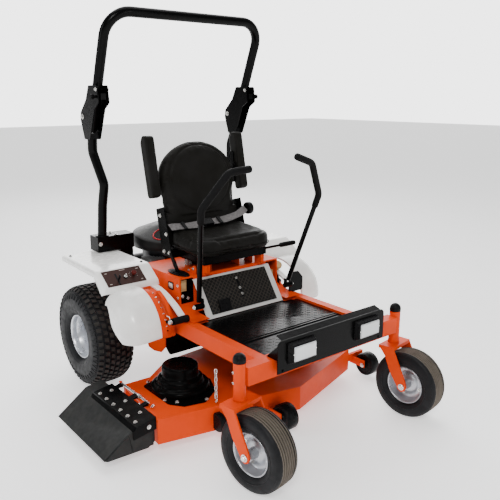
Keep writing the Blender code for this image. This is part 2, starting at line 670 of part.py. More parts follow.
def blade_spindle(name, key):
    x, y = SPINDLES[key]
    shaft = lathe(name, [(0, 0.066), (0.014, 0.066), (0.014, 0.205), (0.058, 0.205), (0.058, 0.225),
                         (0.014, 0.225), (0.014, 0.245), (0, 0.245)], (x, y, 0), (0, 0, 1), 14)
    blade = block("blade", (-BLADE_R, -0.030, 0.072), (BLADE_R, 0.030, 0.078))
    turn = {"right": 20, "centre": 75, "left": -30}[key]
    reach = math.sqrt(BLADE_R ** 2 - 0.030 ** 2) / BLADE_R
    blade.data.transform(Matrix.Scale(reach, 4, (1, 0, 0)))
    blade.data.transform(Matrix.Translation((x, y, 0)) @ Matrix.Rotation(math.radians(turn), 4, "Z"))
    return union(shaft, blade), (x, y, 0.075)


def deflector_bracket():
    x = CHUTE_HINGE[0]
    outline = [(x - 0.0075, 0.1905), (x - 0.0075, 0.1780), (x - 0.045, 0.1772), (x - 0.126, 0.1637),
               (x - 0.126, 0.1680), (x - 0.045, 0.1815)]
    return prism("deflector_bracket", outline, Y, 0.470, 0.740)


def deflector():
    x = CHUTE_HINGE[0]
    outline = [(x - 0.046, 0.1690), (x - 0.130, 0.1550), (-0.906, 0.050), (-0.911, 0.054),
               (x - 0.133, 0.1605), (x - 0.046, 0.1745)]
    flap = prism("deflector", outline, Y, 0.372, 0.860)
    wall = [(x - 0.050, 0.1715), (x - 0.131, 0.1580), (-0.795, 0.140), (-0.781, 0.052), (x - 0.050, 0.052)]
    return union(flap, prism("side", wall, Y, 0.360, 0.374))


def anti_scalp_wheel(name, key):
    x, y = ANTI_SCALP[key]
    r, h = ANTI_SCALP_R, ANTI_SCALP_HALF
    profile = [(0.0068, -h), (r - 0.012, -h), (r - 0.003, -h + 0.004), (r, -h * 0.4), (r, h * 0.4),
               (r - 0.003, h - 0.004), (r - 0.012, h), (0.0068, h)]
    origin = (x, y, ANTI_SCALP_Z)
    return lathe(name, profile, origin, (1, 0, 0), 20), origin


def seat_pan():
    pan = block("seat_pan", (-0.200, 0.645, 0.7185), (0.200, 0.985, 0.758))
    strap = block("strap", (-0.2515, 0.860, 0.722), (0.2515, 0.955, 0.745))
    union(pan, strap)
    plate = [(0.860, 0.722), (0.955, 0.722), (1.005, 0.960), (0.930, 0.980)]
    for side in SIDES.values():
        union(pan, prism("plate", plate, X, *span(side, 0.2475, 0.2515)))
    return pan


def seat_cushion():
    outline = [(0.620, 0.7585), (0.955, 0.7585), (0.955, 0.862), (0.930, 0.869), (0.670, 0.848),
               (0.625, 0.836), (0.608, 0.800)]
    return prism("seat_cushion", outline, X, -0.245, 0.245)


def seat_back():
    outline = [(0.920, 0.880), (1.010, 0.875), (1.065, 1.277), (1.050, 1.314), (1.000, 1.322),
               (0.975, 1.302)]
    return prism("seat_back", outline, X, -0.245, 0.245)


def seat_belt():
    outline = [(0.854, 0.8645), (0.902, 0.8683), (0.902, 0.8711), (0.854, 0.8673)]
    return prism("seat_belt", outline, X, -0.2465, 0.2465)


def armrest(name, side):
    outline = [(0.955, 1.030), (1.005, 1.020), (1.050, 1.300), (1.030, 1.340), (0.990, 1.335)]
    low, high = span(side, 0.256, 0.310)
    arm = prism(name, outline, X, low, high)
    stub = disc("stub", 0.014, 0.2475, 0.260, (0, *ARM_PIVOT), (side, 0, 0), 16)
    return union(arm, stub), (side * 0.283, *ARM_PIVOT)


def park_brake_lever():
    root, tip = (0.262, 0.800, 0.700), (0.262, 0.490, 0.800)
    rod = tube("park_brake_lever", [root, tip], 0.007)
    hub = disc("hub", 0.014, 0.252, 0.272, (0, root[1], root[2]), (1, 0, 0), 16)
    direction = (Vector(tip) - Vector(root)).normalized()
    start = Vector(tip) - direction * 0.12
    return union(rod, hub, tube("grip", [start, Vector(tip)], 0.0125)), root


def build_chassis(paint):
    finish(main_frame(), paint["orange_paint"])
    finish(floor_plate(), paint["black_paint"], smooth=False)
    finish(kick_plate(), paint["border_grey"], smooth=False)
    finish(kick_mat(), paint["mat_rubber"], smooth=False)
    finish(light_panel(), paint["black_paint"])
    finish(seat_box(), paint["orange_paint"])
    finish(control_panel(), paint["panel_brown"], smooth=False)
    finish(height_quadrant(), paint["orange_paint"])
    finish(engine_block(), paint["cast_dark"])
    finish(blower_cover(), paint["hard_plastic"])
    finish(muffler(), paint["cast_dark"])
    for key, side in SIDES.items():
        finish(headlight_housing(f"headlight_housing_{key}", side), paint["hard_plastic"], smooth=False)
        finish(headlight_lens(f"headlight_lens_{key}", side), paint["lens_clear"], smooth=False)
        finish(fender(f"fender_{key}", side), paint["fender_paint"])
        finish(rops_post(f"rops_post_{key}", side), paint["black_paint"])
        finish(transaxle(f"transaxle_{key}", side), paint["cast_dark"])


def build_wheels(paint):
    for key, side in SIDES.items():
        fork, kingpin = caster_fork(f"caster_fork_{key}", key)
        finish(fork, paint["orange_paint"], kingpin)
        across, axle = caster_frame(key)[2:]
        finish(tyre(f"caster_tyre_{key}", axle, across, CASTER_R, CASTER_HALF, CASTER_RIM_R + GAP, 0.022, 24),
               paint["tyre_rubber"], axle)
        wheel = rim(f"caster_rim_{key}", axle, across, CASTER_RIM_R, 0.050, 0.010, (-0.068, 0.068),
                    0.0088, 24)
        finish(wheel, paint["rim_grey"], axle)
        hub = Vector((side * REAR_X, REAR_Y, REAR_R))
        finish(tyre(f"rear_tyre_{key}", hub, (side, 0, 0), REAR_R, REAR_HALF, REAR_RIM_R + GAP, 0.035, 28),
               paint["tyre_rubber"], hub)
        wheel = rim(f"rear_rim_{key}", hub, (side, 0, 0), REAR_RIM_R, 0.093, -0.045, (-0.097, -0.030), 0, 28)
        finish(wheel, paint["rim_silver"], hub)


def build_controls(paint):
    for key, side in SIDES.items():
        base, origin = lap_base(f"lap_bar_base_{key}", side)
        finish(base, paint["black_paint"], origin)
        bar, origin = lap_bar(f"lap_bar_{key}", side)
        finish(bar, paint["black_paint"], origin)
        finish(lap_grip(f"lap_grip_{key}", side), paint["foam_grip"], origin)
        pin, origin = rops_pin(f"rops_pin_{key}", side)
        finish(pin, paint["steel"], origin)
    finish(rops_hoop(), paint["black_paint"], (0, *ROPS_PIVOT))
    finish(height_lever(), paint["hard_plastic"], (-0.414, ARCH_Y, ARCH_Z))
    lever, origin = park_brake_lever()
    finish(lever, paint["black_paint"], origin)
    lever, origin = throttle_lever()
    finish(lever, paint["hard_plastic"], origin, smooth=False)
    knob, origin = pto_knob()
    finish(knob, paint["hard_plastic"], origin)


def build_seat(paint):
    hinge = (0, *SEAT_HINGE)
    finish(seat_pan(), paint["black_paint"], hinge, smooth=False)
    finish(seat_cushion(), paint["seat_vinyl"], hinge)
    finish(seat_back(), paint["seat_vinyl"], hinge)
    finish(seat_belt(), paint["belt_web"], hinge, smooth=False)
    for key, side in SIDES.items():
        arm, origin = armrest(f"armrest_{key}", side)
        finish(arm, paint["seat_vinyl"], origin)


def build_deck(paint):
    finish(deck_shell(), paint["orange_paint"])
    for key in SIDES:
        finish(belt_cover(f"belt_cover_{key}", key), paint["black_paint"])
    for key in SPINDLES:
        spindle, origin = blade_spindle(f"blade_spindle_{key}", key)
        finish(spindle, paint["steel"], origin)
    for key in ANTI_SCALP:
        wheel, origin = anti_scalp_wheel(f"anti_scalp_wheel_{key}", key)
        finish(wheel, paint["hard_plastic"], origin)
    hinge = (CHUTE_HINGE[0], 0.605, CHUTE_HINGE[1])
    finish(deflector_bracket(), paint["black_paint"], hinge, smooth=False)
    finish(deflector(), paint["deflector_rubber"], hinge)


def centre_machine():
    """Parent every part to one empty that centres the machine over the origin."""
    origin = bpy.data.objects.new("machine_origin", None)
    bpy.context.scene.collection.objects.link(origin)
    origin.location = FRAME_SHIFT
    for item in bpy.data.objects:
        if item.type == "MESH":
            item.parent = origin


def main():
    clear_scene()
    paint = {name: make_material(name) for name in MATERIALS}
    build_chassis(paint)
    build_wheels(paint)
    build_controls(paint)
    build_seat(paint)
    build_deck(paint)
    centre_machine()


main()
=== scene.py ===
"""Looks of the zero turn mower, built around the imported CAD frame.

Pieces are modelled in the machine frame: X = 0 is the middle of the machine, Y = 0 the line between
the caster kingpins, Z = 0 the ground, and the front faces -Y. ORIGIN carries them to the CAD frame.
SIDE -1 is the operator's right hand, which is the discharge side, and +1 the left.
"""

import json
import math

import bmesh
import bpy
import numpy as np
from mathutils import Matrix, Vector


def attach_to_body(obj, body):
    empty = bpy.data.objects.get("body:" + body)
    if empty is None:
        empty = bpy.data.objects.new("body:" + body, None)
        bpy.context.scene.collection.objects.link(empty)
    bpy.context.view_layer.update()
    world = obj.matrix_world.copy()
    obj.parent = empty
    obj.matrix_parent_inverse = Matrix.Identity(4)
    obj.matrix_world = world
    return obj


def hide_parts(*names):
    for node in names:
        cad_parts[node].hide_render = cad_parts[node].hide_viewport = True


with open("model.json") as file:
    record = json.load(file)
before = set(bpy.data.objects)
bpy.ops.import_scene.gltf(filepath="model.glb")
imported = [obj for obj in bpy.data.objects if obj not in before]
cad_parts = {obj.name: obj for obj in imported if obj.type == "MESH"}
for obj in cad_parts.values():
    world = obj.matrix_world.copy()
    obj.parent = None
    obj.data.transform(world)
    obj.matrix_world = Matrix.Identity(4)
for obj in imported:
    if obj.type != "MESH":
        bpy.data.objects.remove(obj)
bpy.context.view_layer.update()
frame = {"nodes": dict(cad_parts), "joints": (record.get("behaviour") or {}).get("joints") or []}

JOINTS = {joint["name"]: joint for joint in frame["joints"]}
SIDES = {"right": -1, "left": 1}
X, Y, Z = "X", "Y", "Z"
UP, ACROSS, BACK, FORWARD = (0, 0, 1), (1, 0, 0), (0, 1, 0), (0, -1, 0)
ROUND_OFF = 1e-6


def joint_point(name):
    return Vector(JOINTS[name]["pos_m"])


def machine_origin():
    """The point midway between the kingpins, on the ground."""
    middle = (joint_point("caster_swivel_right") + joint_point("caster_swivel_left")) / 2
    return Vector((middle.x, middle.y, 0))


ORIGIN = machine_origin()
KINGPIN_X = joint_point("caster_swivel_left").x - ORIGIN.x
KINGPIN_TUBE_R = 0.0262


def joint_local(name):
    return joint_point(name) - ORIGIN


# ---------------------------------------------------------------- mesh building


def along(axis, u, v, w):
    """A point from two outline coordinates (u, v) and a distance w along the axis."""
    return Vector({X: (w, u, v), Y: (u, w, v), Z: (u, v, w)}[axis])


def span(side, near, far):
    """Low and high X of a part that lies between two distances from the middle."""
    return sorted((side * near, side * far))


def circle(count, start=0.0):
    """Angles of evenly spaced points round a circle."""
    return [start + math.tau * step / count for step in range(count)]


def frame_from(axis):
    """Rotation that carries +Z to the axis."""
    return Vector(UP).rotation_difference(Vector(axis).normalized()).to_matrix()


def fillet(points, radius, steps=8):
    """A polyline whose inner corners are rounded with arcs of the given radius."""
    points = [Vector(p) for p in points]
    path = [points[0]]
    for before, corner, after in zip(points, points[1:], points[2:]):
        back, ahead = (before - corner).normalized(), (after - corner).normalized()
        half = back.angle(ahead) / 2
        reach = min(radius / math.tan(half), 0.48 * (before - corner).length,
                    0.48 * (after - corner).length)
        size = reach * math.tan(half)
        centre = corner + (back + ahead).normalized() * (size / math.sin(half))
        start, end = corner + back * reach - centre, corner + ahead * reach - centre
        sweep = start.angle(end)
        for step in range(steps + 1):
            t = step / steps
            mix = (start * math.sin((1 - t) * sweep) + end * math.sin(t * sweep)) / math.sin(sweep)
            path.append(centre + mix)
    path.append(points[-1])
    return path


def fillet_flat(points, radius, steps=5):
    """The same for a closed outline of 2D points."""
    count = len(points)
    rounded = []
    for index in range(count):
        corner = Vector((*points[index], 0))
        before, after = Vector((*points[index - 1], 0)), Vector((*points[(index + 1) % count], 0))
        arc_points = fillet([before, corner, after], radius, steps)[1:-1]
        rounded += [(p.x, p.y) for p in arc_points]
    return rounded


def smooth_curve(points, steps=6):
    """Catmull-Rom curve through the points, of any dimension."""
    points = [Vector(p) for p in points]
    padded = [points[0] * 2 - points[1], *points, points[-1] * 2 - points[-2]]
    curve = []
    for index in range(1, len(padded) - 2):
        a, b, c, d = padded[index - 1:index + 3]
        for step in range(steps):
            t = step / steps
            curve.append(0.5 * (2 * b + (c - a) * t + (2 * a - 5 * b + 4 * c - d) * t * t
                                + (3 * b - a - 3 * c + d) * t ** 3))
    curve.append(points[-1])
    return curve


class Shape:
    """Collects bodies into one mesh."""

    def __init__(self):
        self.verts, self.faces, self.slots = [], [], []

    def add(self, verts, faces, slot=0):
        base = len(self.verts)
        self.verts += [Vector(v) for v in verts]
        self.faces += [[base + i for i in face] for face in faces]
        self.slots += [slot] * len(faces)
        return self

    def prism(self, outline, axis, low, high, slot=0):
        count = len(outline)
        verts = [along(axis, u, v, w) for w in (low, high) for u, v in outline]
        faces = [list(range(count))[::-1], list(range(count, 2 * count))]
        faces += [[i, (i + 1) % count, count + (i + 1) % count, count + i] for i in range(count)]
        return self.add(verts, faces, slot)

    def block(self, low, high, slot=0):
        outline = [(low[0], low[1]), (high[0], low[1]), (high[0], high[1]), (low[0], high[1])]
        return self.prism(outline, Z, low[2], high[2], slot)

    def box_at(self, centre, size, turn=None, slot=0):
        """A box by centre and full size, turned by a 3x3 matrix."""
        turn = turn or Matrix.Identity(3)
        corners = [Vector((sx * size[0], sy * size[1], sz * size[2])) / 2
                   for sz in (-1, 1) for sx, sy in ((-1, -1), (1, -1), (1, 1), (-1, 1))]
        faces = [[3, 2, 1, 0], [4, 5, 6, 7]] + [[i, (i + 1) % 4, 4 + (i + 1) % 4, 4 + i]
                                                for i in range(4)]
        return self.add([Vector(centre) + turn @ c for c in corners], faces, slot)

    def lathe(self, profile, centre, axis=UP, segments=48, slot=0, loop=True):
        """A (radius, height) profile turned about an axis; loop joins its ends."""
        turn, centre = frame_from(axis), Vector(centre)
        verts, rings = [], []
        for radius, height in profile:
            steps = 1 if radius < ROUND_OFF else segments
            rings.append(list(range(len(verts), len(verts) + steps)))
            for step in range(steps):
                angle = math.tau * step / segments
                local = Vector((radius * math.cos(angle), radius * math.sin(angle), height))
                verts.append(centre + turn @ local)
        faces = []
        for index in range(len(rings) if loop else len(rings) - 1):
            ring, other = rings[index], rings[(index + 1) % len(rings)]
            if len(ring) == 1 and len(other) == 1:
                continue
            for step in range(segments):
                after = (step + 1) % segments
                corners = [ring[step % len(ring)], ring[after % len(ring)],
                           other[after % len(other)], other[step % len(other)]]
                faces.append(list(dict.fromkeys(corners)))
        return self.add(verts, faces, slot)

    def disc(self, radius, low, high, centre, axis=UP, segments=32, slot=0, edge=0.0):
        """A short cylinder with a small chamfer on both rims."""
        edge = edge or min(radius, high - low) * 0.15
        profile = [(0, low), (radius - edge, low), (radius, low + edge), (radius, high - edge),
                   (radius - edge, high), (0, high)]
        return self.lathe(profile, centre, axis, segments, slot, loop=False)

    def tube(self, path, radius, sides=16, slot=0, caps=True):
        """A round sweep; radius is one value or one for each path point."""
        path = [Vector(p) for p in path]
        radii = radius if isinstance(radius, (list, tuple)) else [radius] * len(path)
        tangents = []
        for index, point in enumerate(path):
            before, after = path[max(index - 1, 0)], path[min(index + 1, len(path) - 1)]
            tangents.append(((point - before).normalized()
                             + (after - point).normalized()).normalized())
        normal = tangents[0].orthogonal().normalized()
        verts, faces = [], []
        for index, (point, tangent) in enumerate(zip(path, tangents)):
            if index:
                normal = tangents[index - 1].rotation_difference(tangent) @ normal
            binormal = tangent.cross(normal)
            for side in range(sides):
                angle = math.tau * side / sides
                offset = math.cos(angle) * normal + math.sin(angle) * binormal
                verts.append(point + radii[index] * offset)
        for ring in range(len(path) - 1):
            base = ring * sides
            faces += [[base + i, base + (i + 1) % sides, base + sides + (i + 1) % sides, base
                       + sides + i] for i in range(sides)]
        if caps:
            faces += [list(range(sides))[::-1], list(range(len(verts) - sides, len(verts)))]
        return self.add(verts, faces, slot)

    def bolt(self, at, axis, size=0.008, slot=0):
        """A hexagon head of the given radius standing on a surface, with a washer under it."""
        low = size * 0.22
        self.disc(size * 1.45, 0, low, at, axis, 20, slot)
        profile = [(0, low), (size, low), (size, low + size * 0.62),
                   (size * 0.88, low + size * 0.78), (0, low + size * 0.78)]
        return self.lathe(profile, at, axis, 6, slot, loop=False)

    def repaint(self, chosen, slot):
        """Gives another material slot to the faces whose middle satisfies chosen(point)."""
        for index, face in enumerate(self.faces):
            middle = sum((self.verts[i] for i in face), Vector()) / len(face)
            if chosen(middle):
                self.slots[index] = slot
        return self

    def loft(self, rows, slot=0, closed=False):
        """A sheet through rows of equal length."""
        count = len(rows[0])
        verts = [p for row in rows for p in row]
        faces = []
        for r in range(len(rows) - 1):
            for c in range(count if closed else count - 1):
                nxt = (c + 1) % count
                faces.append([r * count + c, r * count + nxt, (r + 1) * count + nxt, (r + 1) * count
                              + c])
        return self.add(verts, faces, slot)


def mesh_from(shape, name):
    """Mesh of a Shape with shared corners and outward faces."""
    mesh = bpy.data.meshes.new(name)
    mesh.from_pydata([tuple(v) for v in shape.verts], [], shape.faces)
    mesh.polygons.foreach_set("material_index", shape.slots)
    work = bmesh.new()
    work.from_mesh(mesh)
    bmesh.ops.remove_doubles(work, verts=work.verts, dist=ROUND_OFF)
    bmesh.ops.recalc_face_normals(work, faces=work.faces)
    work.to_mesh(mesh)
    work.free()
    return mesh


def add_bevel(item, width, segments=2, angle=30):
    bevel = item.modifiers.new("bevel", "BEVEL")
    bevel.width = width
    bevel.segments = segments
    bevel.limit_method = "ANGLE"
    bevel.angle_limit = math.radians(angle)
    bevel.harden_normals = False


def attach(item, look, body, replaces=()):
    """Materials, ride, slot and the CAD nodes that this piece stands for."""
    looks = [LOOK[key] for key in ([look] if isinstance(look, str) else look)]
    faces = np.zeros(len(item.data.polygons), dtype=np.int32)
    item.data.polygons.foreach_get("material_index", faces)
    item.data.materials.clear()
    for each in looks:
        item.data.materials.append(each)
    item.data.polygons.foreach_set("material_index", np.minimum(faces, len(looks) - 1))
    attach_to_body(item, body)
    if replaces:
        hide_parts(*([replaces] if isinstance(replaces, str) else replaces))
    return item


def piece(name, shape, look, body="chassis", replaces=(), bevel=0.0, segments=2, angle=38,
          solid=0.0):
    """One visible piece from a Shape in the machine frame."""
    item = bpy.data.objects.new(name, mesh_from(shape, name))
    bpy.context.scene.collection.objects.link(item)
    item.data.transform(Matrix.Translation(ORIGIN))
    if solid:
        skin = item.modifiers.new("skin", "SOLIDIFY")
        skin.thickness = solid
        skin.offset = -1
    if bevel:
        add_bevel(item, bevel, segments)
    item.data.shade_smooth()
    item.data.set_sharp_from_angle(angle=math.radians(angle))
    return attach(item, look, body, replaces)


def bolt_set(name, heads, body="chassis", look="zinc", bevel=0.0003):
    """One piece of bolt heads, each given as (place, axis, radius)."""
    shape = Shape()
    for at, axis, size in heads:
        shape.bolt(at, axis, size)
    piece(name, shape, look, body, bevel=bevel)


def dressed(node, look, body, bevel=0.0015, segments=2, angle=32):
    """A CAD solid's own shape with rounded edges and its final material."""
    mesh = frame["nodes"][node].data.copy()
    work = bmesh.new()
    work.from_mesh(mesh)
    bmesh.ops.remove_doubles(work, verts=work.verts, dist=1e-5)
    bmesh.ops.dissolve_limit(work, angle_limit=math.radians(0.6), verts=work.verts,
                             edges=work.edges)
    bmesh.ops.recalc_face_normals(work, faces=work.faces)
    work.to_mesh(mesh)
    work.free()
    item = bpy.data.objects.new(node + "_skin", mesh)
    bpy.context.scene.collection.objects.link(item)
    if bevel:
        add_bevel(item, bevel, segments, angle)
    mesh.shade_smooth()
    mesh.set_sharp_from_angle(angle=math.radians(angle))
    return attach(item, look, body, node)


# ---------------------------------------------------------------- materials


class Look:
    """A Principled material with helpers for procedural variation."""

    def __init__(self, name, slot, colour, roughness, metallic=0.0, **sockets):
        self.material = bpy.data.materials.new(name)
        self.material.use_nodes = True
        self.material["slot"] = slot
        self.tree = self.material.node_tree
        self.shader = self.tree.nodes["Principled BSDF"]
        self.colour, self.rough = colour, roughness
        self.shader.inputs["Base Color"].default_value = (*colour, 1)
        self.shader.inputs["Roughness"].default_value = roughness
        self.shader.inputs["Metallic"].default_value = metallic
        for key, value in sockets.items():
            self.shader.inputs[key.replace("_", " ")].default_value = value
        self.coords = self.tree.nodes.new("ShaderNodeTexCoord")
        self.heights = []

    def node(self, kind, **inputs):
        node = self.tree.nodes.new(kind)
        for key, value in inputs.items():
            node.inputs[key].default_value = value
        return node

    def link(self, source, target):
        self.tree.links.new(source, target)

    def noise(self, scale, detail=4.0, rough=0.55, stretch=None):
        noise = self.node("ShaderNodeTexNoise", Scale=scale, Detail=detail, Roughness=rough)
        self.link(self.mapped(stretch), noise.inputs["Vector"])
        return noise.outputs["Fac"]

    def cells(self, scale, feature="F1", stretch=None):
        cells = self.node("ShaderNodeTexVoronoi", Scale=scale)
        cells.feature = feature
        self.link(self.mapped(stretch), cells.inputs["Vector"])
        return cells.outputs["Distance"]

    def mapped(self, stretch=None):
        if not stretch:
            return self.coords.outputs["Object"]
        mapping = self.node("ShaderNodeMapping", Scale=stretch)
        self.link(self.coords.outputs["Object"], mapping.inputs["Vector"])
        return mapping.outputs["Vector"]

    def ramp(self, source, low, high, low_at=0.35, high_at=0.65):
        """Maps a factor to values between low and high."""
        span = self.node("ShaderNodeMapRange", **{"From Min": low_at, "From Max": high_at,
                                                  "To Min": low, "To Max": high})
        self.link(source, span.inputs["Value"])
        return span.outputs["Result"]

    def tint(self, source, amount, dark=None):
        """Blends the base colour towards a darker or given one where the source is high."""
        other = dark or tuple(c * (1 - amount) for c in self.colour)
        mix = self.tree.nodes.new("ShaderNodeMix")
        mix.data_type = "RGBA"
        mix.inputs["A"].default_value = (*self.colour, 1)
        mix.inputs["B"].default_value = (*other, 1)
        self.link(source, mix.inputs["Factor"])
        self.link(mix.outputs["Result"], self.shader.inputs["Base Color"])
        return self

    def vary_rough(self, source, spread):
        self.link(self.ramp(source, self.rough - spread, self.rough + spread),
                  self.shader.inputs["Roughness"])
        return self

    def bump(self, source, distance, strength=1.0):
        bump = self.node("ShaderNodeBump", Strength=strength, Distance=distance)
        self.link(source, bump.inputs["Height"])
        if self.heights:
            self.link(self.heights[-1].outputs["Normal"], bump.inputs["Normal"])
        self.heights.append(bump)
        self.link(bump.outputs["Normal"], self.shader.inputs["Normal"])
        return self


def paint(name, slot, colour, roughness, coat=0.5, spread=0.05, metallic=0.0, gloss=0.3):
    """Powder coat: faint orange peel, slight colour drift and uneven gloss."""
    look = Look(name, slot, colour, roughness, metallic, Coat_Weight=coat, Coat_Roughness=0.08,
                Specular_IOR_Level=gloss)
    look.tint(look.ramp(look.noise(6, 3), 0, 1, 0.42, 0.62), 0.1)
    look.vary_rough(look.noise(35, 4), spread)
    look.bump(look.noise(420, 2), 0.00025, 0.5)
    return look.material


def plastic(name, slot, colour, roughness, grain=900, depth=0.0002):
    """Moulded plastic or foam: a fine cell grain."""
    look = Look(name, slot, colour, roughness, Specular_IOR_Level=0.08)
    look.tint(look.ramp(look.noise(9, 3), 0, 1, 0.4, 0.65), 0.14)
    look.vary_rough(look.noise(60, 3), 0.06)
    look.bump(look.cells(grain), depth, 0.5)
    return look.material


def rubber(name, slot, colour, dust, roughness):
    """Rubber with dust in patches and a coarse grain."""
    look = Look(name, slot, colour, roughness, Specular_IOR_Level=0.2)
    look.tint(look.ramp(look.noise(14, 6, 0.65), 0, 1, 0.48, 0.75), 0, dust)
    look.vary_rough(look.noise(40, 4), 0.08)
    look.bump(look.noise(260, 5), 0.0006, 0.5)
    return look.material


def brushed(name, slot, colour, roughness, metallic=1.0):
    """Bare or plated metal with faint streaks."""
    look = Look(name, slot, colour, roughness, metallic)
    look.tint(look.ramp(look.noise(18, 4), 0, 1, 0.4, 0.7), 0.18)
    look.vary_rough(look.noise(220, 3, 0.6, (1, 1, 0.08)), 0.09)
    look.bump(look.noise(500, 3, 0.6, (1, 1, 0.06)), 0.0001, 0.4)
    return look.material


def vinyl():
    """Grained black seat vinyl: pebble cells, pores and a worn sheen."""
    look = Look("seat_vinyl", "seat_vinyl", (0.007, 0.0066, 0.0055), 0.46, Specular_IOR_Level=0.06)
    look.tint(look.ramp(look.noise(7, 4), 0, 1, 0.38, 0.66), 0, (0.011, 0.0105, 0.0098))
    look.vary_rough(look.noise(28, 4), 0.07)
    look.bump(look.cells(520, "SMOOTH_F1"), 0.0006, 0.55)
    look.bump(look.noise(1400, 2), 0.0002, 0.4)
    return look.material


def webbing():
    """Woven belt: ribs across and fine threads along."""
    look = Look("belt_web", "belt_web", (0.13, 0.12, 0.12), 0.7, Sheen_Weight=0.2)
    for axis, scale, depth in (("Y", 300, 0.0006), ("X", 900, 0.0003)):
        wave = look.node("ShaderNodeTexWave", Scale=scale / 6.28, Distortion=0.3)
        wave.bands_direction = axis
        look.link(look.mapped(), wave.inputs["Vector"])
        look.bump(wave.outputs["Fac"], depth, 0.6)
    look.tint(look.ramp(look.noise(90, 4), 0, 1, 0.4, 0.6), 0.35)
    return look.material


def lens_clear():
    """Clear plastic with moulded flutes."""
    look = Look("lens_clear", "lens_clear", (0.93, 0.95, 0.96), 0.1, Transmission_Weight=0.6,
                IOR=1.45)
    look.vary_rough(look.noise(60, 3), 0.03)
    wave = look.node("ShaderNodeTexWave", Scale=38, Distortion=0.0)
    look.link(look.mapped(), wave.inputs["Vector"])
    look.bump(wave.outputs["Fac"], 0.0008, 0.5)
    return look.material


def make_looks():
    """Every material by its short key; several may share one slot."""
    black, hard, tyre, mat = "black_paint", "hard_plastic", "tyre_rubber", "mat_rubber"
    chute, steel, cast = "deflector_rubber", "steel", "cast_dark"
    return {
        "orange": paint("orange_paint", "orange_paint", (0.72, 0.05, 0.0), 0.36, 0.0, gloss=0.08),
        "black": paint(black, black, (0.0018, 0.0018, 0.0019), 0.22, 0.0, 0.05, gloss=0.07),
        "black_satin": paint("black_satin", black, (0.002, 0.002, 0.002), 0.24, 0.0, 0.08,
                             gloss=0.035),
        "fender": paint("fender_paint", "fender_paint", (0.93, 0.92, 0.89), 0.26, 0.35, 0.03),
        "border": paint("border_grey", "border_grey", (0.66, 0.65, 0.63), 0.38, 0.2),
        "silver": paint("rim_silver", "rim_silver", (0.62, 0.64, 0.68), 0.3, 0.3, 0.05, 0.75),
        "rim_grey": paint("rim_grey", "rim_grey", (0.46, 0.47, 0.5), 0.32, 0.2, 0.06, 0.75),
        "panel": plastic("panel_brown", "panel_brown", (0.04, 0.018, 0.015), 0.35),
        "plastic": plastic(hard, hard, (0.0055, 0.0055, 0.006), 0.3),
        "cover": plastic("cover_plastic", hard, (0.014, 0.0138, 0.0135), 0.38, 700, 0.00035),
        "foam": plastic("foam_grip", "foam_grip", (0.005, 0.005, 0.0052), 0.7, 1300, 0.0006),
        "tyre": rubber(tyre, tyre, (0.004, 0.0042, 0.0052), (0.01, 0.01, 0.012), 0.55),
        # Lug tops: lighter than the tyre, partly dust and partly painted highlight on the tops that
        # face the light.
        "tread": rubber("tyre_tread_dust_and_highlight", tyre, (0.022, 0.02, 0.018), (0.045, 0.041, 0.036), 0.75),
        # Rib tops of the caster tyres: light brown, partly dust and partly painted highlight.
        "ribs": rubber("tyre_rib_tops_dust_and_highlight", tyre, (0.125, 0.105, 0.085), (0.085, 0.07, 0.058), 0.8),
        "mat": rubber(mat, mat, (0.006, 0.0058, 0.0055), (0.012, 0.011, 0.01), 0.5),
        "mat_line": rubber("mat_lines", mat, (0.042, 0.036, 0.03), (0.032, 0.028, 0.024), 0.6),
        "chute": rubber(chute, chute, (0.012, 0.0125, 0.012), (0.024, 0.023, 0.021), 0.55),
        "vinyl": vinyl(),
        "web": webbing(),
        "lens": lens_clear(),
        "zinc": brushed("zinc_plated", steel, (0.74, 0.73, 0.7), 0.26),
        "steel": brushed("steel_plain", steel, (0.55, 0.55, 0.54), 0.32),
        "chrome": brushed("chrome_rod", steel, (0.86, 0.86, 0.86), 0.12),
        "engine": paint("engine_black", cast, (0.007, 0.007, 0.009), 0.4, 0.0, 0.1, 0.2),
        "cast": brushed("cast_alloy", cast, (0.16, 0.16, 0.16), 0.5, 0.8),
        "red": plastic("red_trim", hard, (0.5, 0.02, 0.025), 0.35),
        "knob": plastic("knob_red", hard, (0.085, 0.01, 0.008), 0.35),
        "tan": plastic("tan_plastic", hard, (0.5, 0.34, 0.16), 0.45),
        "white_mark": plastic("pale_mark", "panel_brown", (0.42, 0.36, 0.33), 0.5),
        "reflector": brushed("lamp_reflector", steel, (0.92, 0.93, 0.95), 0.16),
    }


LOOK = make_looks()


# ---------------------------------------------------------------- camera, light, floor

CAMERA_AT = Vector((-1.879, -1.796, 1.5325))
CAMERA_AZIMUTH, CAMERA_ELEVATION = math.radians(-38.89), math.radians(13.93)
LENS_MM = 44.68


def add_camera():
    data = bpy.data.cameras.new("camera")
    data.lens = LENS_MM
    data.sensor_width = 36
    camera = bpy.data.objects.new("camera", data)
    bpy.context.scene.collection.objects.link(camera)
    camera.location = CAMERA_AT + ORIGIN
    camera.rotation_euler = (math.pi / 2 - CAMERA_ELEVATION, 0, CAMERA_AZIMUTH)
    bpy.context.scene.camera = camera


def area_light(name, at, aim, size, power, colour):
    data = bpy.data.lights.new(name, "AREA")
    data.shape = "RECTANGLE"
    data.size, data.size_y = size
    data.energy = power
    data.color = colour
    light = bpy.data.objects.new(name, data)
    bpy.context.scene.collection.objects.link(light)
    light.location = at
    light.rotation_euler = (Vector(aim) - Vector(at)).to_track_quat("-Z", "Y").to_euler()


BRIGHT_WAY, DIM_LEVEL, BRIGHT_LEVEL = (0.61, 0.76, -0.22), 0.3, 3.8


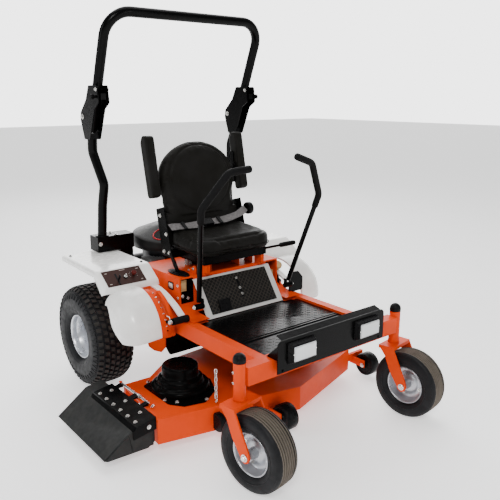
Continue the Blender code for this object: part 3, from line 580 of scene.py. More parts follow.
def studio_world():
    """White surround that is bright behind the machine and dim behind the viewer's usual place."""
    world = bpy.data.worlds.new("studio")
    bpy.context.scene.world = world
    world.use_nodes = True
    tree = world.node_tree
    background = tree.nodes["Background"]
    background.inputs["Color"].default_value = (1, 1, 1, 1)
    coords = tree.nodes.new("ShaderNodeTexCoord")
    facing = tree.nodes.new("ShaderNodeVectorMath")
    facing.operation = "DOT_PRODUCT"
    facing.inputs[1].default_value = BRIGHT_WAY
    level = tree.nodes.new("ShaderNodeMapRange")
    level.interpolation_type = "SMOOTHSTEP"
    limits = {"From Min": 0.35, "From Max": 0.85, "To Min": DIM_LEVEL, "To Max": BRIGHT_LEVEL}
    for key, value in limits.items():
        level.inputs[key].default_value = value
    tree.links.new(coords.outputs["Generated"], facing.inputs[0])
    tree.links.new(facing.outputs["Value"], level.inputs["Value"])
    tree.links.new(level.outputs["Result"], background.inputs["Strength"])


WHITE = (1, 1, 1)
LIT_POINT = (0, 0, 0.6)
# Name, place, aim, width and height, watts, colour.
LIGHTS = [("key", (-3.0, -3.6, 4.4), LIT_POINT, (1.4, 1.4), 190, (1, 0.99, 0.97)),
          ("top", (0.6, 1.0, 4.6), LIT_POINT, (4.0, 4.0), 150, WHITE),
          ("floor_wash", (2.6, 4.6, 3.4), (1.4, 2.2, 0), (4.0, 4.0), 110, WHITE),
          ("side", (-4.4, 1.6, 2.4), LIT_POINT, (0.8, 3.0), 60, (0.93, 0.96, 1)),
          ("front", (1.6, -4.6, 2.0), LIT_POINT, (0.8, 2.4), 30, WHITE)]
FLOOR_HALF, FLOOR_TOP = 30, -0.0005


def add_stage():
    """Surround, lights and a pale floor that gives off a little light of its own."""
    studio_world()
    for light in LIGHTS:
        area_light(*light)
    shape = Shape().block((-FLOOR_HALF, -FLOOR_HALF, -0.02), (FLOOR_HALF, FLOOR_HALF, FLOOR_TOP))
    floor = bpy.data.objects.new("floor", mesh_from(shape, "floor"))
    bpy.context.scene.collection.objects.link(floor)
    look = Look("floor_pale", "floor", (0.95, 0.95, 0.95), 0.7, Emission_Color=(*WHITE, 1),
                Emission_Strength=0.75)
    look.tint(look.ramp(look.noise(1.5, 2), 0, 1, 0.4, 0.7), 0.02)
    floor.data.materials.append(look.material)


# ---------------------------------------------------------------- wheels


def profile_point(line, distance):
    """Point and outward normal at an arc length along a half profile of (height, radius)."""
    travelled = 0.0
    for first, second in zip(line, line[1:]):
        length = (second - first).length
        if travelled + length >= distance:
            run = (second - first) / length
            return first + run * (distance - travelled), Vector((-run.y, run.x))
        travelled += length
    run = (line[-1] - line[-2]).normalized()
    return line[-1], Vector((-run.y, run.x))


def add_lug(shape, place, line, reach, half_length, angle, half_angle, height, skew, taper, slot):
    """A tread block between two arc lengths of the profile and two angles about the axle."""
    verts = []
    for level, shrink in ((-0.002, 1.0), (height, taper)):
        for ds, da in ((-1, -1), (1, -1), (1, 1), (-1, 1)):
            distance = reach + ds * half_length * shrink
            sign = 1 if distance >= 0 else -1
            point, normal = profile_point(line, abs(distance))
            at = angle + (da * half_angle * shrink) + skew * ds
            radius, side = point.y + normal.y * level, sign * (point.x + normal.x * level)
            verts.append(place @ Vector((radius * math.cos(at), radius * math.sin(at), side)))
    sides = [[i, (i + 1) % 4, 4 + (i + 1) % 4, 4 + i] for i in range(4)]
    shape.add(verts, [[3, 2, 1, 0]] + sides)
    # The top face takes the given slot; where that is 1, a lighter colour that is partly dust and
    # partly painted highlight.
    shape.add(verts[4:], [[0, 1, 2, 3]], slot)


def ring_point(centre, axis, radius, angle, height):
    """A point at a radius, angle and height about an axis through centre."""
    local = Vector((radius * math.cos(angle), radius * math.sin(angle), height))
    return centre + frame_from(axis) @ local


def wheel_place(centre, axis):
    return Matrix.Translation(centre) @ frame_from(axis).to_4x4()


def tyre_ring(shape, line, centre, axis, bead_inset, segments):
    outer = [(p.y, p.x) for p in line]
    profile = [(r, -h) for r, h in reversed(outer)] + outer[1:]
    inner = [(outer[-1][0], outer[-1][1] - bead_inset), (outer[-1][0], bead_inset - outer[-1][1])]
    shape.lathe(profile + inner, centre, axis, segments)


# Half of the rear tyre from the crown to the bead: (distance from the middle, radius).
REAR_LINE = [(0.0, 0.2655), (0.044, 0.265), (0.074, 0.26), (0.094, 0.248), (0.105, 0.226),
             (0.1105, 0.199), (0.1105, 0.174), (0.1075, 0.152), (0.1, 0.135), (0.088, 0.124),
             (0.081, 0.1185)]


TREAD_PITCHES = 46
# Distance from the middle, half length, shift and half width in pitches, height, skew, taper, slot;
# slot 1 gives the block top the lighter tread colour, partly dust and partly painted highlight.
TREAD_ROWS = [(0.0, 0.011, 0.0, 0.33, 0.0084, 0.0, 0.84, 1),
              (0.0285, 0.0115, 0.5, 0.33, 0.0084, 0.01, 0.84, 1),
              (0.057, 0.0115, 0.0, 0.33, 0.0084, 0.01, 0.84, 1),
              (0.086, 0.012, 0.5, 0.32, 0.00798, 0.0, 0.84, 1),
              (0.123, 0.0185, 0.0, 0.23, 0.0042, 0.0, 0.8, 0),
              (0.113, 0.008, 0.5, 0.18, 0.0036, 0.0, 0.8, 0)]


def rear_tyre(key, side):
    """Turf tyre: staggered rows of blocks and long shoulder bars down the sidewall."""
    centre, axis = joint_local(f"rear_wheel_spin_{key}"), (side, 0, 0)
    line = smooth_curve(REAR_LINE, 5)
    shape = Shape()
    tyre_ring(shape, line, centre, axis, 0.012, 96)
    place = wheel_place(centre, axis)
    pitch = math.tau / TREAD_PITCHES
    rows = [(1, TREAD_ROWS[0])] + [(flip, row) for flip in (-1, 1) for row in TREAD_ROWS[1:]]
    for step in range(TREAD_PITCHES):
        for flip, (reach, half_length, shift, share, height, skew, taper, slot) in rows:
            add_lug(shape, place, line, flip * reach, half_length, (step + shift) * pitch,
                    pitch * share, height, flip * skew, taper, slot)
    for flip in (-1, 1):
        ring = [(0.148, 0.105), (0.15, 0.1082), (0.1525, 0.1086), (0.1545, 0.1065)]
        shape.lathe([(r, flip * h) for r, h in ring], centre, axis, 96)
    piece(f"rear_tyre_skin_{key}", shape, ["tyre", "tread"], f"rear_wheel_{key}",
          f"rear_tyre_{key}", angle=30)


def rear_rim(key, side):
    """Pressed rim with a rolled lip, a stepped barrel and a dished disc with five studs."""
    centre, axis = joint_local(f"rear_wheel_spin_{key}"), (side, 0, 0)
    shape = Shape()
    lip = smooth_curve([(0.1175, 0.08), (0.1195, 0.085), (0.117, 0.0885), (0.112, 0.086),
                        (0.1085, 0.077)], 4)
    barrel = [(0.108, 0.06), (0.101, 0.05), (0.099, 0.02), (0.096, -0.006)]
    disc = smooth_curve([(0.09, -0.018), (0.08, -0.024), (0.066, -0.015), (0.056, -0.012),
                         (0.042, -0.013), (0.034, -0.013)], 4)
    front = [(p.x, p.y) for p in lip] + barrel + [(p.x, p.y) for p in disc]
    back = [(0.034, -0.02), (0.056, -0.019), (0.08, -0.031), (0.093, -0.025), (0.101, -0.06),
            (0.115, -0.078), (0.1185, -0.085), (0.1195, -0.08), (0.108, -0.05), (0.11, 0.05)]
    shape.lathe(front + back, centre, axis, 72)
    for angle in circle(5, 0.3):
        shape.bolt(ring_point(centre, axis, 0.049, angle, -0.0125), axis, 0.009, 1)
    shape.disc(0.0335, -0.097, -0.006, centre, axis, 36, 2)
    shape.disc(0.017, -0.006, 0.004, centre, axis, 6, 1)
    valve = ring_point(centre, axis, 0.088, 0, -0.022)
    shape.tube([valve, valve + Vector(axis) * 0.03], 0.0038, 12, 2)
    piece(f"rear_rim_skin_{key}", shape, ["silver", "zinc", "black_satin"],
          f"rear_wheel_{key}", f"rear_rim_{key}", angle=32)


CASTER_SIDE = [(0.044, 0.163), (0.053, 0.158), (0.0595, 0.148), (0.062, 0.134), (0.061, 0.119),
               (0.057, 0.106), (0.05, 0.097), (0.045, 0.0935)]
RIB_GROOVES = (0.0065, 0.019, 0.0315)


def caster_tyre(key, centre, axis):
    """Ribbed tyre: six grooves between ribs on the crown; the rib tops are painted lighter, partly
    dust and partly painted highlight.
    """
    crown = 0.1648
    outer = []
    for step in range(44):
        height = step * 0.001
        drop = 0.0024 * (height / 0.044) ** 2.5
        deep = any(abs(height - groove) < 0.0031 for groove in RIB_GROOVES)
        outer.append((crown - drop - 0.005 * deep, height))
    outer += [(p.y, p.x) for p in smooth_curve(CASTER_SIDE, 4)]
    profile = [(r, -h) for r, h in reversed(outer)] + outer[1:]
    profile += [(0.092, 0.038), (0.092, -0.038)]
    shape = Shape().lathe(profile, centre, axis, 96)
    direction = Vector(axis).normalized()

    def on_rib(point):
        away = point - centre
        height = away.dot(direction)
        return abs(height) < 0.0405 and (away - direction * height).length > crown - 0.0036

    # Rib tops get the lighter rib colour, partly dust and partly painted highlight.
    shape.repaint(on_rib, 1)
    for flip in (-1, 1):
        ring = [(0.115, 0.06), (0.1165, 0.0622), (0.1195, 0.0624), (0.121, 0.061)]
        shape.lathe([(r, flip * h) for r, h in ring], centre, axis, 96)
        scuff = [(0.15, 0.057), (0.151, 0.0585), (0.153, 0.0578), (0.1535, 0.056)]
        shape.lathe([(r, flip * h) for r, h in scuff], centre, axis, 96)
    piece(f"caster_tyre_skin_{key}", shape, ["tyre", "ribs"], f"caster_wheel_{key}",
          f"caster_tyre_{key}", angle=34)


def caster_rim(key, centre, axis):
    """Two pressed halves: rolled lip, deep barrel, stepped web and a bearing hub."""
    shape = Shape()
    outer = smooth_curve([(0.0905, 0.042), (0.093, 0.047), (0.0905, 0.05), (0.086, 0.047),
                          (0.083, 0.038)], 4)
    disc = smooth_curve([(0.079, 0.02), (0.074, 0.011), (0.064, 0.008), (0.054, 0.01),
                         (0.044, 0.017), (0.034, 0.02)], 4)
    front = [(p.x, p.y) for p in outer] + [(p.x, p.y) for p in disc]
    front += [(0.024, 0.022), (0.0225, 0.042), (0.0225, 0.06), (0.0095, 0.062)]
    profile = front + [(r, -h) for r, h in reversed(front)]
    shape.lathe(profile, centre, axis, 72)
    for flip in (-1, 1):
        for angle in circle(4, 0.5):
            at = ring_point(centre, axis, 0.063, angle, flip * 0.0082)
            shape.bolt(at, Vector(axis) * flip, 0.0058, 1)
    valve = centre + frame_from(axis) @ Vector((0.07, 0.012, 0.01))
    shape.tube([valve, valve + Vector(axis) * 0.026], 0.0034, 12, 2)
    piece(f"caster_rim_skin_{key}", shape, ["rim_grey", "zinc", "plastic"],
          f"caster_wheel_{key}", f"caster_rim_{key}", angle=34)


def caster_fork(key, centre, axis):
    """Bevelled fork with axle nuts and spacers."""
    dressed(f"caster_fork_{key}", "orange", f"caster_{key}", 0.0018)
    shape = Shape()
    for flip in (-1, 1):
        outward = Vector(axis) * flip
        shape.bolt(centre + outward * 0.0806, outward, 0.011)
        shape.disc(0.015, 0.0685, 0.0724, centre, outward, 24)
    piece(f"caster_axle_nuts_{key}", shape, "zinc", f"caster_{key}", bevel=0.0004)


def casters():
    for key in SIDES:
        centre = joint_local(f"caster_spin_{key}")
        axis = Vector(JOINTS[f"caster_spin_{key}"]["axis"])
        caster_tyre(key, centre, axis)
        caster_rim(key, centre, axis)
        caster_fork(key, centre, axis)


# ---------------------------------------------------------------- frame and foot area


def kingpin_tubes():
    """Sleeves, domed caps and grease fittings of the two kingpins."""
    shape, caps, small = Shape(), Shape(), Shape()
    for side in SIDES.values():
        foot = (side * KINGPIN_X, 0, 0)
        shape.lathe([(0.018, 0.3522), (KINGPIN_TUBE_R, 0.3522), (0.0264, 0.354),
                     (KINGPIN_TUBE_R, 0.5165), (0.018, 0.5165)], foot, UP, 48)
        shape.lathe([(0.018, 0.3521), (0.0285, 0.3521), (0.0285, 0.36), (0.018, 0.36)], foot, UP,
                    48)
        dome = [(0.0275, 0.512)] + [(0.0275 * math.cos(a), 0.524 + 0.0272 * math.sin(a))
                                     for a in [math.radians(d) for d in range(0, 91, 10)]]
        caps.lathe(dome + [(0, 0.512)], foot, UP, 48, loop=False)
        for height in (0.425, 0.47):
            out = Vector((-0.94, 0.34, 0)).normalized()
            small.bolt(Vector((side * KINGPIN_X, 0, height)) + out * KINGPIN_TUBE_R, out, 0.0048)
    piece("kingpin_sleeves", shape, "orange", angle=30)
    piece("kingpin_caps", caps, "plastic", angle=50)
    piece("kingpin_grease_fittings", small, "zinc")


def floor_details():
    """Raised treads on the foot plate: small bars in a checker pattern and a double ridge."""
    shape = Shape()
    low_y, high_y, top = 0.045, 0.515, 0.471
    rows, columns = 19, 25
    for row in range(rows):
        y = low_y + (high_y - low_y) * (row + 0.5) / rows
        if abs(y - 0.227) < 0.022:
            continue
        for column in range(columns):
            x = -0.3 + 0.6 * (column + 0.5) / columns
            angle = math.radians(45 if (row + column) % 2 else -45)
            turn = Matrix.Rotation(angle, 3, "Z")
            shape.box_at((x, y, top + 0.0004), (0.019, 0.0042, 0.0016), turn)
    piece("foot_plate_treads", shape, "black", bevel=0.0005, segments=1)
    filler = Shape().block((-0.3, 0.524, 0.463), (0.3, 0.566, 0.4685))
    piece("foot_plate_rear_strip", filler, "black_satin", bevel=0.0008)
    wings = Shape()
    for side in SIDES.values():
        low, high = span(side, 0.2475, 0.3205)
        wings.block((low, 0.545, 0.4615), (high, 0.69, 0.4695))
    piece("foot_area_side_plates", wings, "orange", bevel=0.0012)
    dressed("floor_plate", "black", "chassis", 0.001)


class Slope:
    """A plane that leans in side view; its points are given as x, up the slope and out of it."""

    def __init__(self, foot, top):
        self.foot, top = Vector(foot), Vector(top)
        self.run = (top - self.foot).normalized()
        self.normal = Vector((-self.run.y, self.run.x))
        self.out = (0, *self.normal)
        self.turn = Matrix((ACROSS, (0, self.run.x, self.normal.x), (0, self.run.y, self.normal.y)))

    def point(self, x, up, out):
        at = self.foot + self.run * up + self.normal * out
        return Vector((x, *at))


KICK = Slope((0.556, 0.4713), (0.68, 0.648))


def lattice_lines(half, low, high, pitch, lean):
    """Diagonals at 45 degrees across a rectangle, as pairs of (x, s) points."""
    height = high - low
    lines = []
    for step in range(int((2 * half + height) / (pitch * 1.414)) + 1):
        foot = -half - height + (step + 0.5) * pitch * 1.414
        near, far = max(foot, -half), min(foot + height, half)
        if far - near > 0.004:
            ends = [Vector((x * lean, low + (x - foot))) for x in (near, far)]
            lines.append(ends)
    return lines


def kick_plate():
    """Sloped plate with a rubber lattice mat, a bolted slot and the deck-lift pedal."""
    dressed("kick_plate", "border", "chassis", 0.0012)
    mat = Shape()
    half, low, high = 0.2095, 0.018, 0.205
    turn = KICK.turn
    mat.box_at(KICK.point(0, (low + high) / 2, 0.0022), (2 * half, high - low, 0.0036), turn)
    for lean in (-1, 1):
        for start, end in lattice_lines(half - 0.004, low + 0.003, high - 0.003, 0.0175, lean):
            middle, run = (start + end) / 2, end - start
            bar_turn = turn @ Matrix.Rotation(math.atan2(run.y, run.x), 3, "Z")
            mat.box_at(KICK.point(middle.x, middle.y, 0.0044), (run.length, 0.0036, 0.0022),
                       bar_turn, 1)
    piece("kick_mat_skin", mat, ["mat", "mat_line"], "chassis", "kick_mat", bevel=0.0007,
          segments=1)
    slot = Shape()
    slot.box_at(KICK.point(0.004, 0.13, 0.0046), (0.016, 0.118, 0.002), turn)
    piece("kick_slot", slot, "plastic", bevel=0.0006)
    outward = KICK.out
    bolt_set("kick_slot_bolts", [(KICK.point(0.004, s, 0.0056), outward, 0.0052)
                                 for s in (0.088, 0.122, 0.176)])
    pedal = Shape()
    pedal.box_at(KICK.point(-0.125, 0.052, 0.012), (0.07, 0.06, 0.01),
                 turn @ Matrix.Rotation(0.25, 3, "X"))
    pedal.tube([KICK.point(-0.125, 0.03, 0.004), KICK.point(-0.125, 0.052, 0.01)], 0.008)
    piece("deck_lift_pedal", pedal, "plastic", bevel=0.002)


LAMP_X, LAMP_Z = 0.2015, 0.509


def light_panel():
    """Black panel with a ribbed reflector behind each lens."""
    dressed("light_panel", "black", "chassis", 0.0012)
    for key, side in SIDES.items():
        dressed(f"headlight_housing_{key}", "plastic", "chassis", 0.003, 3)
        dressed(f"headlight_lens_{key}", "lens", "chassis", 0.0015, 2)
        shape = Shape()
        middle = side * LAMP_X
        shape.box_at((middle, -0.0806, LAMP_Z), (0.118, 0.0006, 0.06))
        for x in [middle - 0.056 + 0.008 * step for step in range(15)]:
            shape.tube([(x, -0.0812, 0.48), (x, -0.0812, 0.538)], 0.0013, 8)
        piece(f"headlight_reflector_{key}", shape, "reflector", angle=30)
        screws = Shape()
        for offset in (-0.062, 0.062):
            screws.disc(0.0035, 0, 0.0015, (middle + offset, -0.0803, LAMP_Z), FORWARD, 12)
        piece(f"headlight_screws_{key}", screws, "zinc")
    bolt_set("light_panel_bolts", [((x, -0.0541, 0.44), FORWARD, 0.0045) for x in (-0.3, 0.3)],
             look="black")


def console():
    """Seat box with its openings, wiring block, side window and oval boot."""
    dressed("seat_box", "orange", "chassis", 0.0028, 3)
    face = -0.3196
    trim = Shape()
    window = fillet_flat([(0.742, 0.592), (0.792, 0.592), (0.792, 0.632), (0.742, 0.632)], 0.008)
    trim.prism(window, X, face - 0.0022, face + 0.001)
    inner = fillet_flat([(0.75, 0.599), (0.784, 0.599), (0.784, 0.625), (0.75, 0.625)], 0.004)
    trim.prism(inner, X, face - 0.003, face - 0.002, 1)
    piece("console_window", trim, ["plastic", "zinc"], bevel=0.0006)
    oval = Shape()
    outline = [(-0.268 + 0.036 * math.cos(a), 0.775 + 0.085 * math.sin(a)) for a in circle(40)]
    oval.prism(outline, Z, 0.664, 0.669)
    piece("console_oval_boot", oval, "plastic", bevel=0.0015)
    blade = Shape()
    blade.prism([(0.8, 0.668), (0.77, 0.668), (0.8, 0.712), (0.835, 0.752), (0.862, 0.752),
                 (0.83, 0.705)], X, -0.27, -0.262)
    piece("seat_switch_blade", blade, "black_satin", bevel=0.0015)
    wiring = Shape()
    wiring.block((-0.306, 0.712, 0.585), (-0.262, 0.76, 0.645))
    wiring.block((-0.3, 0.706, 0.598), (-0.268, 0.713, 0.634))
    wiring.block((0.252, 0.702, 0.56), (0.3, 0.76, 0.6))
    piece("console_relay_box", wiring, "tan", bevel=0.003)
    # Black sheets inside the seat box: painted shade for the dark inside behind its openings.
    inside = Shape()
    inside.block((-0.308, 0.7615, 0.5), (0.308, 0.765, 0.655))
    inside.block((-0.236, 0.6945, 0.5), (-0.232, 0.76, 0.655))
    inside.block((0.232, 0.6945, 0.5), (0.236, 0.76, 0.655))
    piece("console_inner_shade_sheets", inside, "black_satin", bevel=0.0008)
    cap = Shape()
    foot, axis = Vector((0.36, 0.745, 0.59)), Vector((-0.2, -0.55, 0.8))
    turn = frame_from(axis)
    cap.disc(0.018, -0.02, 0.018, foot, axis, 32)
    cap.disc(0.026, 0.016, 0.036, foot, axis, 40)
    for angle in circle(16):
        rib_turn = turn @ Matrix.Rotation(angle, 3, "Z")
        cap.box_at(ring_point(foot, axis, 0.026, angle, 0.026), (0.003, 0.003, 0.015), rib_turn)
    piece("left_tank_cap", cap, "tan", bevel=0.001)
    # Two black sheets by the left tank cap: painted shade for the dark gap there, where the
    # fender's inner side would show.
    shade_sheets = Shape().prism(fillet_flat([(0.66, 0.487), (0.77, 0.487), (0.79, 0.64), (0.735, 0.66)],
                                       0.01), X, 0.3255, 0.3285)
    shade_sheets.prism(fillet_flat([(0.326, 0.485), (0.43, 0.485), (0.43, 0.56), (0.395, 0.598),
                              (0.326, 0.598)], 0.012), Y, 0.6, 0.603)
    piece("left_gap_shade_sheets", shade_sheets, "black", bevel=0.0008)
    seat_suspension()
    heads = [((face - 0.0001, 0.705, z), (-1, 0, 0), 0.0055) for z in (0.56, 0.625)]
    heads += [((x, 0.716, z), (0, -1, 0.2), 0.006) for x, z in ((-0.285, 0.56), (-0.252, 0.545))]
    bolt_set("console_bolts", heads)


def seat_suspension():
    """Triangular brackets, springs and a dark cross plate between the console and the seat pan."""
    brackets = Shape()
    for x in (-0.215, -0.12, 0.06, 0.15):
        brackets.prism(fillet_flat([(0.702, 0.665), (0.79, 0.665), (0.716, 0.708), (0.702, 0.708)],
                                   0.006), X, x, x + 0.0045)
    piece("seat_support_brackets", brackets, "orange", bevel=0.001)
    plate = Shape().block((-0.16, 0.712, 0.7), (0.16, 0.96, 0.7165))
    plate.block((-0.11, 0.8, 0.665), (0.11, 0.93, 0.701))
    piece("seat_support_plate", plate, "black_satin", bevel=0.002)
    springs = Shape()
    for x in (-0.14, 0.14):
        springs.tube(coil((x, 0.88, 0.666), 0.018, 0.034, 4), 0.0028, 8)
    piece("seat_springs", springs, "zinc", angle=60)
    bolt_set("seat_support_bolts", [((x, y, z), (-1, 0, 0), 0.0058) for x in (-0.2152, -0.1202)
                                    for y, z in ((0.722, 0.69), (0.76, 0.674))])


def coil(foot, radius, height, turns, steps=16, axis=Z):
    """Helix that climbs from foot along an axis."""
    count = turns * steps
    angles = [math.tau * step / steps for step in range(count + 1)]
    return [Vector(foot) + along(axis, radius * math.cos(a), radius * math.sin(a),
                                 height * step / count) for step, a in enumerate(angles)]


def drive_line():
    """Black cross plate and guard under the frame, partly drive parts and partly painted shade for
    the dark underside, with idler pulleys and their spring, ahead of the engine.
    """
    # Sheet under the frame: partly the drive's cross plate, partly painted shade for the dark
    # underside.
    plate = Shape().block((-0.316, 0.7, 0.398), (0.316, 0.96, 0.404))
    plate.block((-0.09, 1.02, 0.38), (0.09, 1.2, 0.406))
    piece("drive_plate_and_underside_shade", plate, "black_satin", bevel=0.0012)
    # Upright guard and low sheet: partly a drive guard, partly painted shade that hides the floor
    # under the frame.
    guard = Shape()
    guard.prism(fillet_flat([(-0.371, 0.4065), (-0.371, 0.3), (-0.35, 0.25), (0.35, 0.25),
                             (0.371, 0.3), (0.371, 0.4065)], 0.02), Y, 0.75, 0.754)
    guard.block((-0.2, 0.754, 0.254), (0.2, 1.06, 0.258))
    for x in (-0.18, -0.06, 0.06, 0.18):
        guard.block((x, 0.743, 0.262), (x + 0.012, 0.751, 0.37))
    piece("drive_guard_and_underside_shade", guard, "black_satin", bevel=0.0015)
    hangers = Shape()
    for side in SIDES.values():
        low, high = span(side, 0.3755, 0.3795)
        hangers.prism(fillet_flat([(0.74, 0.4045), (0.74, 0.305), (0.785, 0.262), (0.86, 0.247),
                                   (0.915, 0.252), (0.94, 0.3), (1.05, 0.33), (1.05, 0.4045)],
                                  0.015), X, low, high)
    piece("drive_hangers", hangers, "orange", bevel=0.0012)
    pulleys = Shape()
    for x, y, radius in ((-0.245, 0.69, 0.058), (0.02, 0.69, 0.05), (0.245, 0.69, 0.058)):
        groove = [(0.01, -0.012), (radius, -0.012), (radius, -0.009), (radius - 0.01, 0.0),
                  (radius, 0.009), (radius, 0.012), (0.01, 0.012)]
        pulleys.lathe(groove, (x, y, 0.384), UP, 40)
        pulleys.disc(0.012, -0.016, 0.02, (x, y, 0.384), UP, 6)
    piece("idler_pulleys", pulleys, "engine", bevel=0.0008)
    spring = Shape()
    start, end = Vector((-0.3, 0.61, 0.384)), Vector((-0.17, 0.6, 0.384))
    turn = frame_from(end - start)
    length = (end - start).length
    wire = [start + turn @ point for point in coil((0, 0, 0), 0.0085, length, 14, 12)]
    spring.tube(wire, 0.0017, 8)
    spring.tube([start - Vector((0.03, -0.06, 0)), start], 0.0022, 8)
    spring.tube([end, end + Vector((0.04, 0.09, 0))], 0.0022, 8)
    piece("idler_spring", spring, "zinc", angle=60)


# ---------------------------------------------------------------- fenders and controls

ARCH = Vector((0.835, 0.41))
ARCH_R = 0.205


def fender_line():
    """Side-view line of the fender skin from the rear edge over the top to the front lip."""
    line = fillet([(1.398, 0.6865, 0), (1.385, 0.695, 0), (0.955, 0.695, 0), (0.862, 0.628, 0),
                   (0.853, 0.6035, 0)], 0.03, 6)
    return [Vector((p.x, p.y)) for p in line]


def fender_columns(inner, outer, wall):
    """(x, depth below the skin) across the fender; the outer edge turns down by wall."""
    bend = 0.014
    columns = [(inner, 0.012), (inner, 0.003), (inner + 0.003, 0.0)]
    columns += [(inner + (outer - bend - inner) * t, 0.0) for t in (0.25, 0.5, 0.75, 1.0)]
    for degrees in (22, 45, 68, 90):
        a = math.radians(degrees)
        columns.append((outer - bend + bend * math.sin(a), bend - bend * math.cos(a)))
    columns += [(outer, bend + (wall - bend) * t) for t in (0.35, 0.7, 1.0)]
    return columns


def line_normals(line):
    normals = []
    for index in range(len(line)):
        before, after = line[max(index - 1, 0)], line[min(index + 1, len(line) - 1)]
        run = (after - before).normalized()
        normals.append(Vector((run.y, -run.x)))
    return normals


def fender(key, side):
    """Flat top with a turned-down edge, a rounded shell over the wheel and a joining strip."""
    shape = Shape()
    line = fender_line()
    rows = []
    for point, normal in zip(line, line_normals(line)):
        wall = 0.03 + 0.01 * max(0.0, min(1.0, (0.955 - point.x) / 0.1))
        row = []
        corner = max(0.0, point.x - 1.335) / 0.065
        for x, depth in fender_columns(0.335, 0.6395, wall):
            pull = 0.045 * (1 - math.sqrt(max(0.0, 1 - min(1.0, corner) ** 2)))
            reach = max(0.0, (x - 0.5) / 0.14)
            at = point - normal * depth
            row.append(Vector((side * (x - pull * reach), at.x, at.y)))
        rows.append(row)
    shape.loft(rows)
    rows = []
    for step in range(41):
        degrees = -3 + 103 * step / 40
        a = math.radians(degrees)
        normal = Vector((-math.cos(a), math.sin(a)))
        lift = 0.012 * max(0.0, 1 - (degrees + 3) / 14) ** 2
        row = []
        for x, depth in lower_columns(ARCH_R - cheek_radius(degrees)):
            at = ARCH + normal * (ARCH_R - depth)
            row.append(Vector((side * x, at.x, at.y + lift * max(0.0, (0.6 - x) / 0.16))))
        rows.append(row)
    shape.loft(rows)
    strip = smooth_curve([(0.872, 0.6065), (0.772, 0.589), (0.68, 0.555), (0.602, 0.51)], 6)
    rows = []
    for point, normal in zip(strip, line_normals(strip)):
        row = []
        for x, depth in ((0.346, 0.01), (0.346, 0.002), (0.348, 0.0), (0.362, 0.0), (0.378, 0.0),
                         (0.38, 0.002), (0.38, 0.01)):
            at = point - normal * depth
            row.append(Vector((side * x, at.x, at.y)))
        rows.append(row)
    shape.loft(rows)
    piece(f"fender_skin_{key}", shape, "fender", "chassis", f"fender_{key}", solid=0.0038,
          bevel=0.0009, angle=40)
    places = ((0.36, 1.36), (0.6, 1.33), (0.36, 0.99))
    bolt_set(f"fender_bolts_{key}", [((side * x, y, 0.6952), UP, 0.006) for x, y in places],
             look="black_satin")


CHEEK_EDGE = [(-3, 0.15), (0, 0.122), (5, 0.1), (15, 0.08), (30, 0.067), (49, 0.063), (65, 0.074),
              (75, 0.092), (82, 0.118), (90, 0.15), (100, 0.165)]


def cheek_radius(degrees):
    """How far from the arch centre the outer wall stops, at an angle above the horizontal."""
    for (d0, r0), (d1, r1) in zip(CHEEK_EDGE, CHEEK_EDGE[1:]):
        if d0 <= degrees <= d1:
            return r0 + (r1 - r0) * (degrees - d0) / (d1 - d0)
    return CHEEK_EDGE[-1][1]


def lower_columns(wall):
    """(x, depth) across the lower shell: flat front, a slanted cheek and the outer wall."""
    columns = [(0.459, 0.01), (0.459, 0.002), (0.461, 0.0), (0.49, 0.0), (0.52, 0.0), (0.556, 0.0),
               (0.572, 0.001), (0.59, 0.008), (0.607, 0.019), (0.621, 0.032), (0.631, 0.046),
               (0.6365, 0.06)]
    reach = max(wall, 0.0602)
    columns += [(0.639, 0.06 + (reach - 0.06) * t + 0.0001) for t in (0.15, 0.45, 0.75, 1.0)]
    return columns


PANEL = Slope((0.862, 0.628), (0.955, 0.695))


def controls():
    """Control panel with throttle slot, key switch and plain dial marks, knob and lever."""
    dressed("control_panel", "panel", "chassis", 0.0008)
    turn = PANEL.turn
    marks = Shape()
    for x, d, w, h in ((-0.59, 0.09, 0.012, 0.004), (-0.59, 0.02, 0.012, 0.004),
                       (-0.42, 0.09, 0.014, 0.004), (-0.42, 0.02, 0.01, 0.004),
                       (-0.5, 0.096, 0.03, 0.003)):
        marks.box_at(PANEL.point(x, d, 0.0032), (w, h, 0.0004), turn)
    for step in range(9):
        angle = math.radians(-120 + 30 * step)
        at = (-0.455 + 0.021 * math.sin(angle), 0.055 + 0.021 * math.cos(angle))
        spoke = turn @ Matrix.Rotation(-angle, 3, "Z")
        marks.box_at(PANEL.point(at[0], at[1], 0.0032), (0.0012, 0.005, 0.0004), spoke)
    piece("panel_marks", marks, "white_mark")
    slot = Shape()
    slot.box_at(PANEL.point(-0.545, 0.045, 0.0034), (0.01, 0.07, 0.0012), turn)
    slot.disc(0.012, 0, 0.003, PANEL.point(-0.5, 0.05, 0.003), PANEL.out,
              32)
    piece("throttle_slot", slot, "plastic", bevel=0.0004)
    key_shape = Shape()
    normal = PANEL.out
    key_shape.disc(0.0075, 0.003, 0.0065, PANEL.point(-0.5, 0.05, 0.003), normal, 28)
    key_shape.box_at(PANEL.point(-0.5, 0.05, 0.016), (0.0022, 0.012, 0.015), turn)
    piece("ignition_key", key_shape, "zinc", bevel=0.0004)
    dressed("throttle_lever", "plastic", "throttle_lever", 0.0012)
    knob = Shape()
    foot = PANEL.point(-0.455, 0.055, 0.0033)
    knob.lathe([(0, 0), (0.0058, 0), (0.0058, 0.009), (0.01, 0.011), (0.0128, 0.014),
                (0.013, 0.0205), (0.0105, 0.0232), (0, 0.0238)], foot, normal, 40, loop=False)
    for angle in circle(14):
        rib_turn = frame_from(normal) @ Matrix.Rotation(angle, 3, "Z")
        knob.box_at(ring_point(foot, normal, 0.0126, angle, 0.0172), (0.0009, 0.0014, 0.006),
                    rib_turn)
    piece("pto_knob_skin", knob, "knob", "pto_knob", "pto_knob", angle=40)


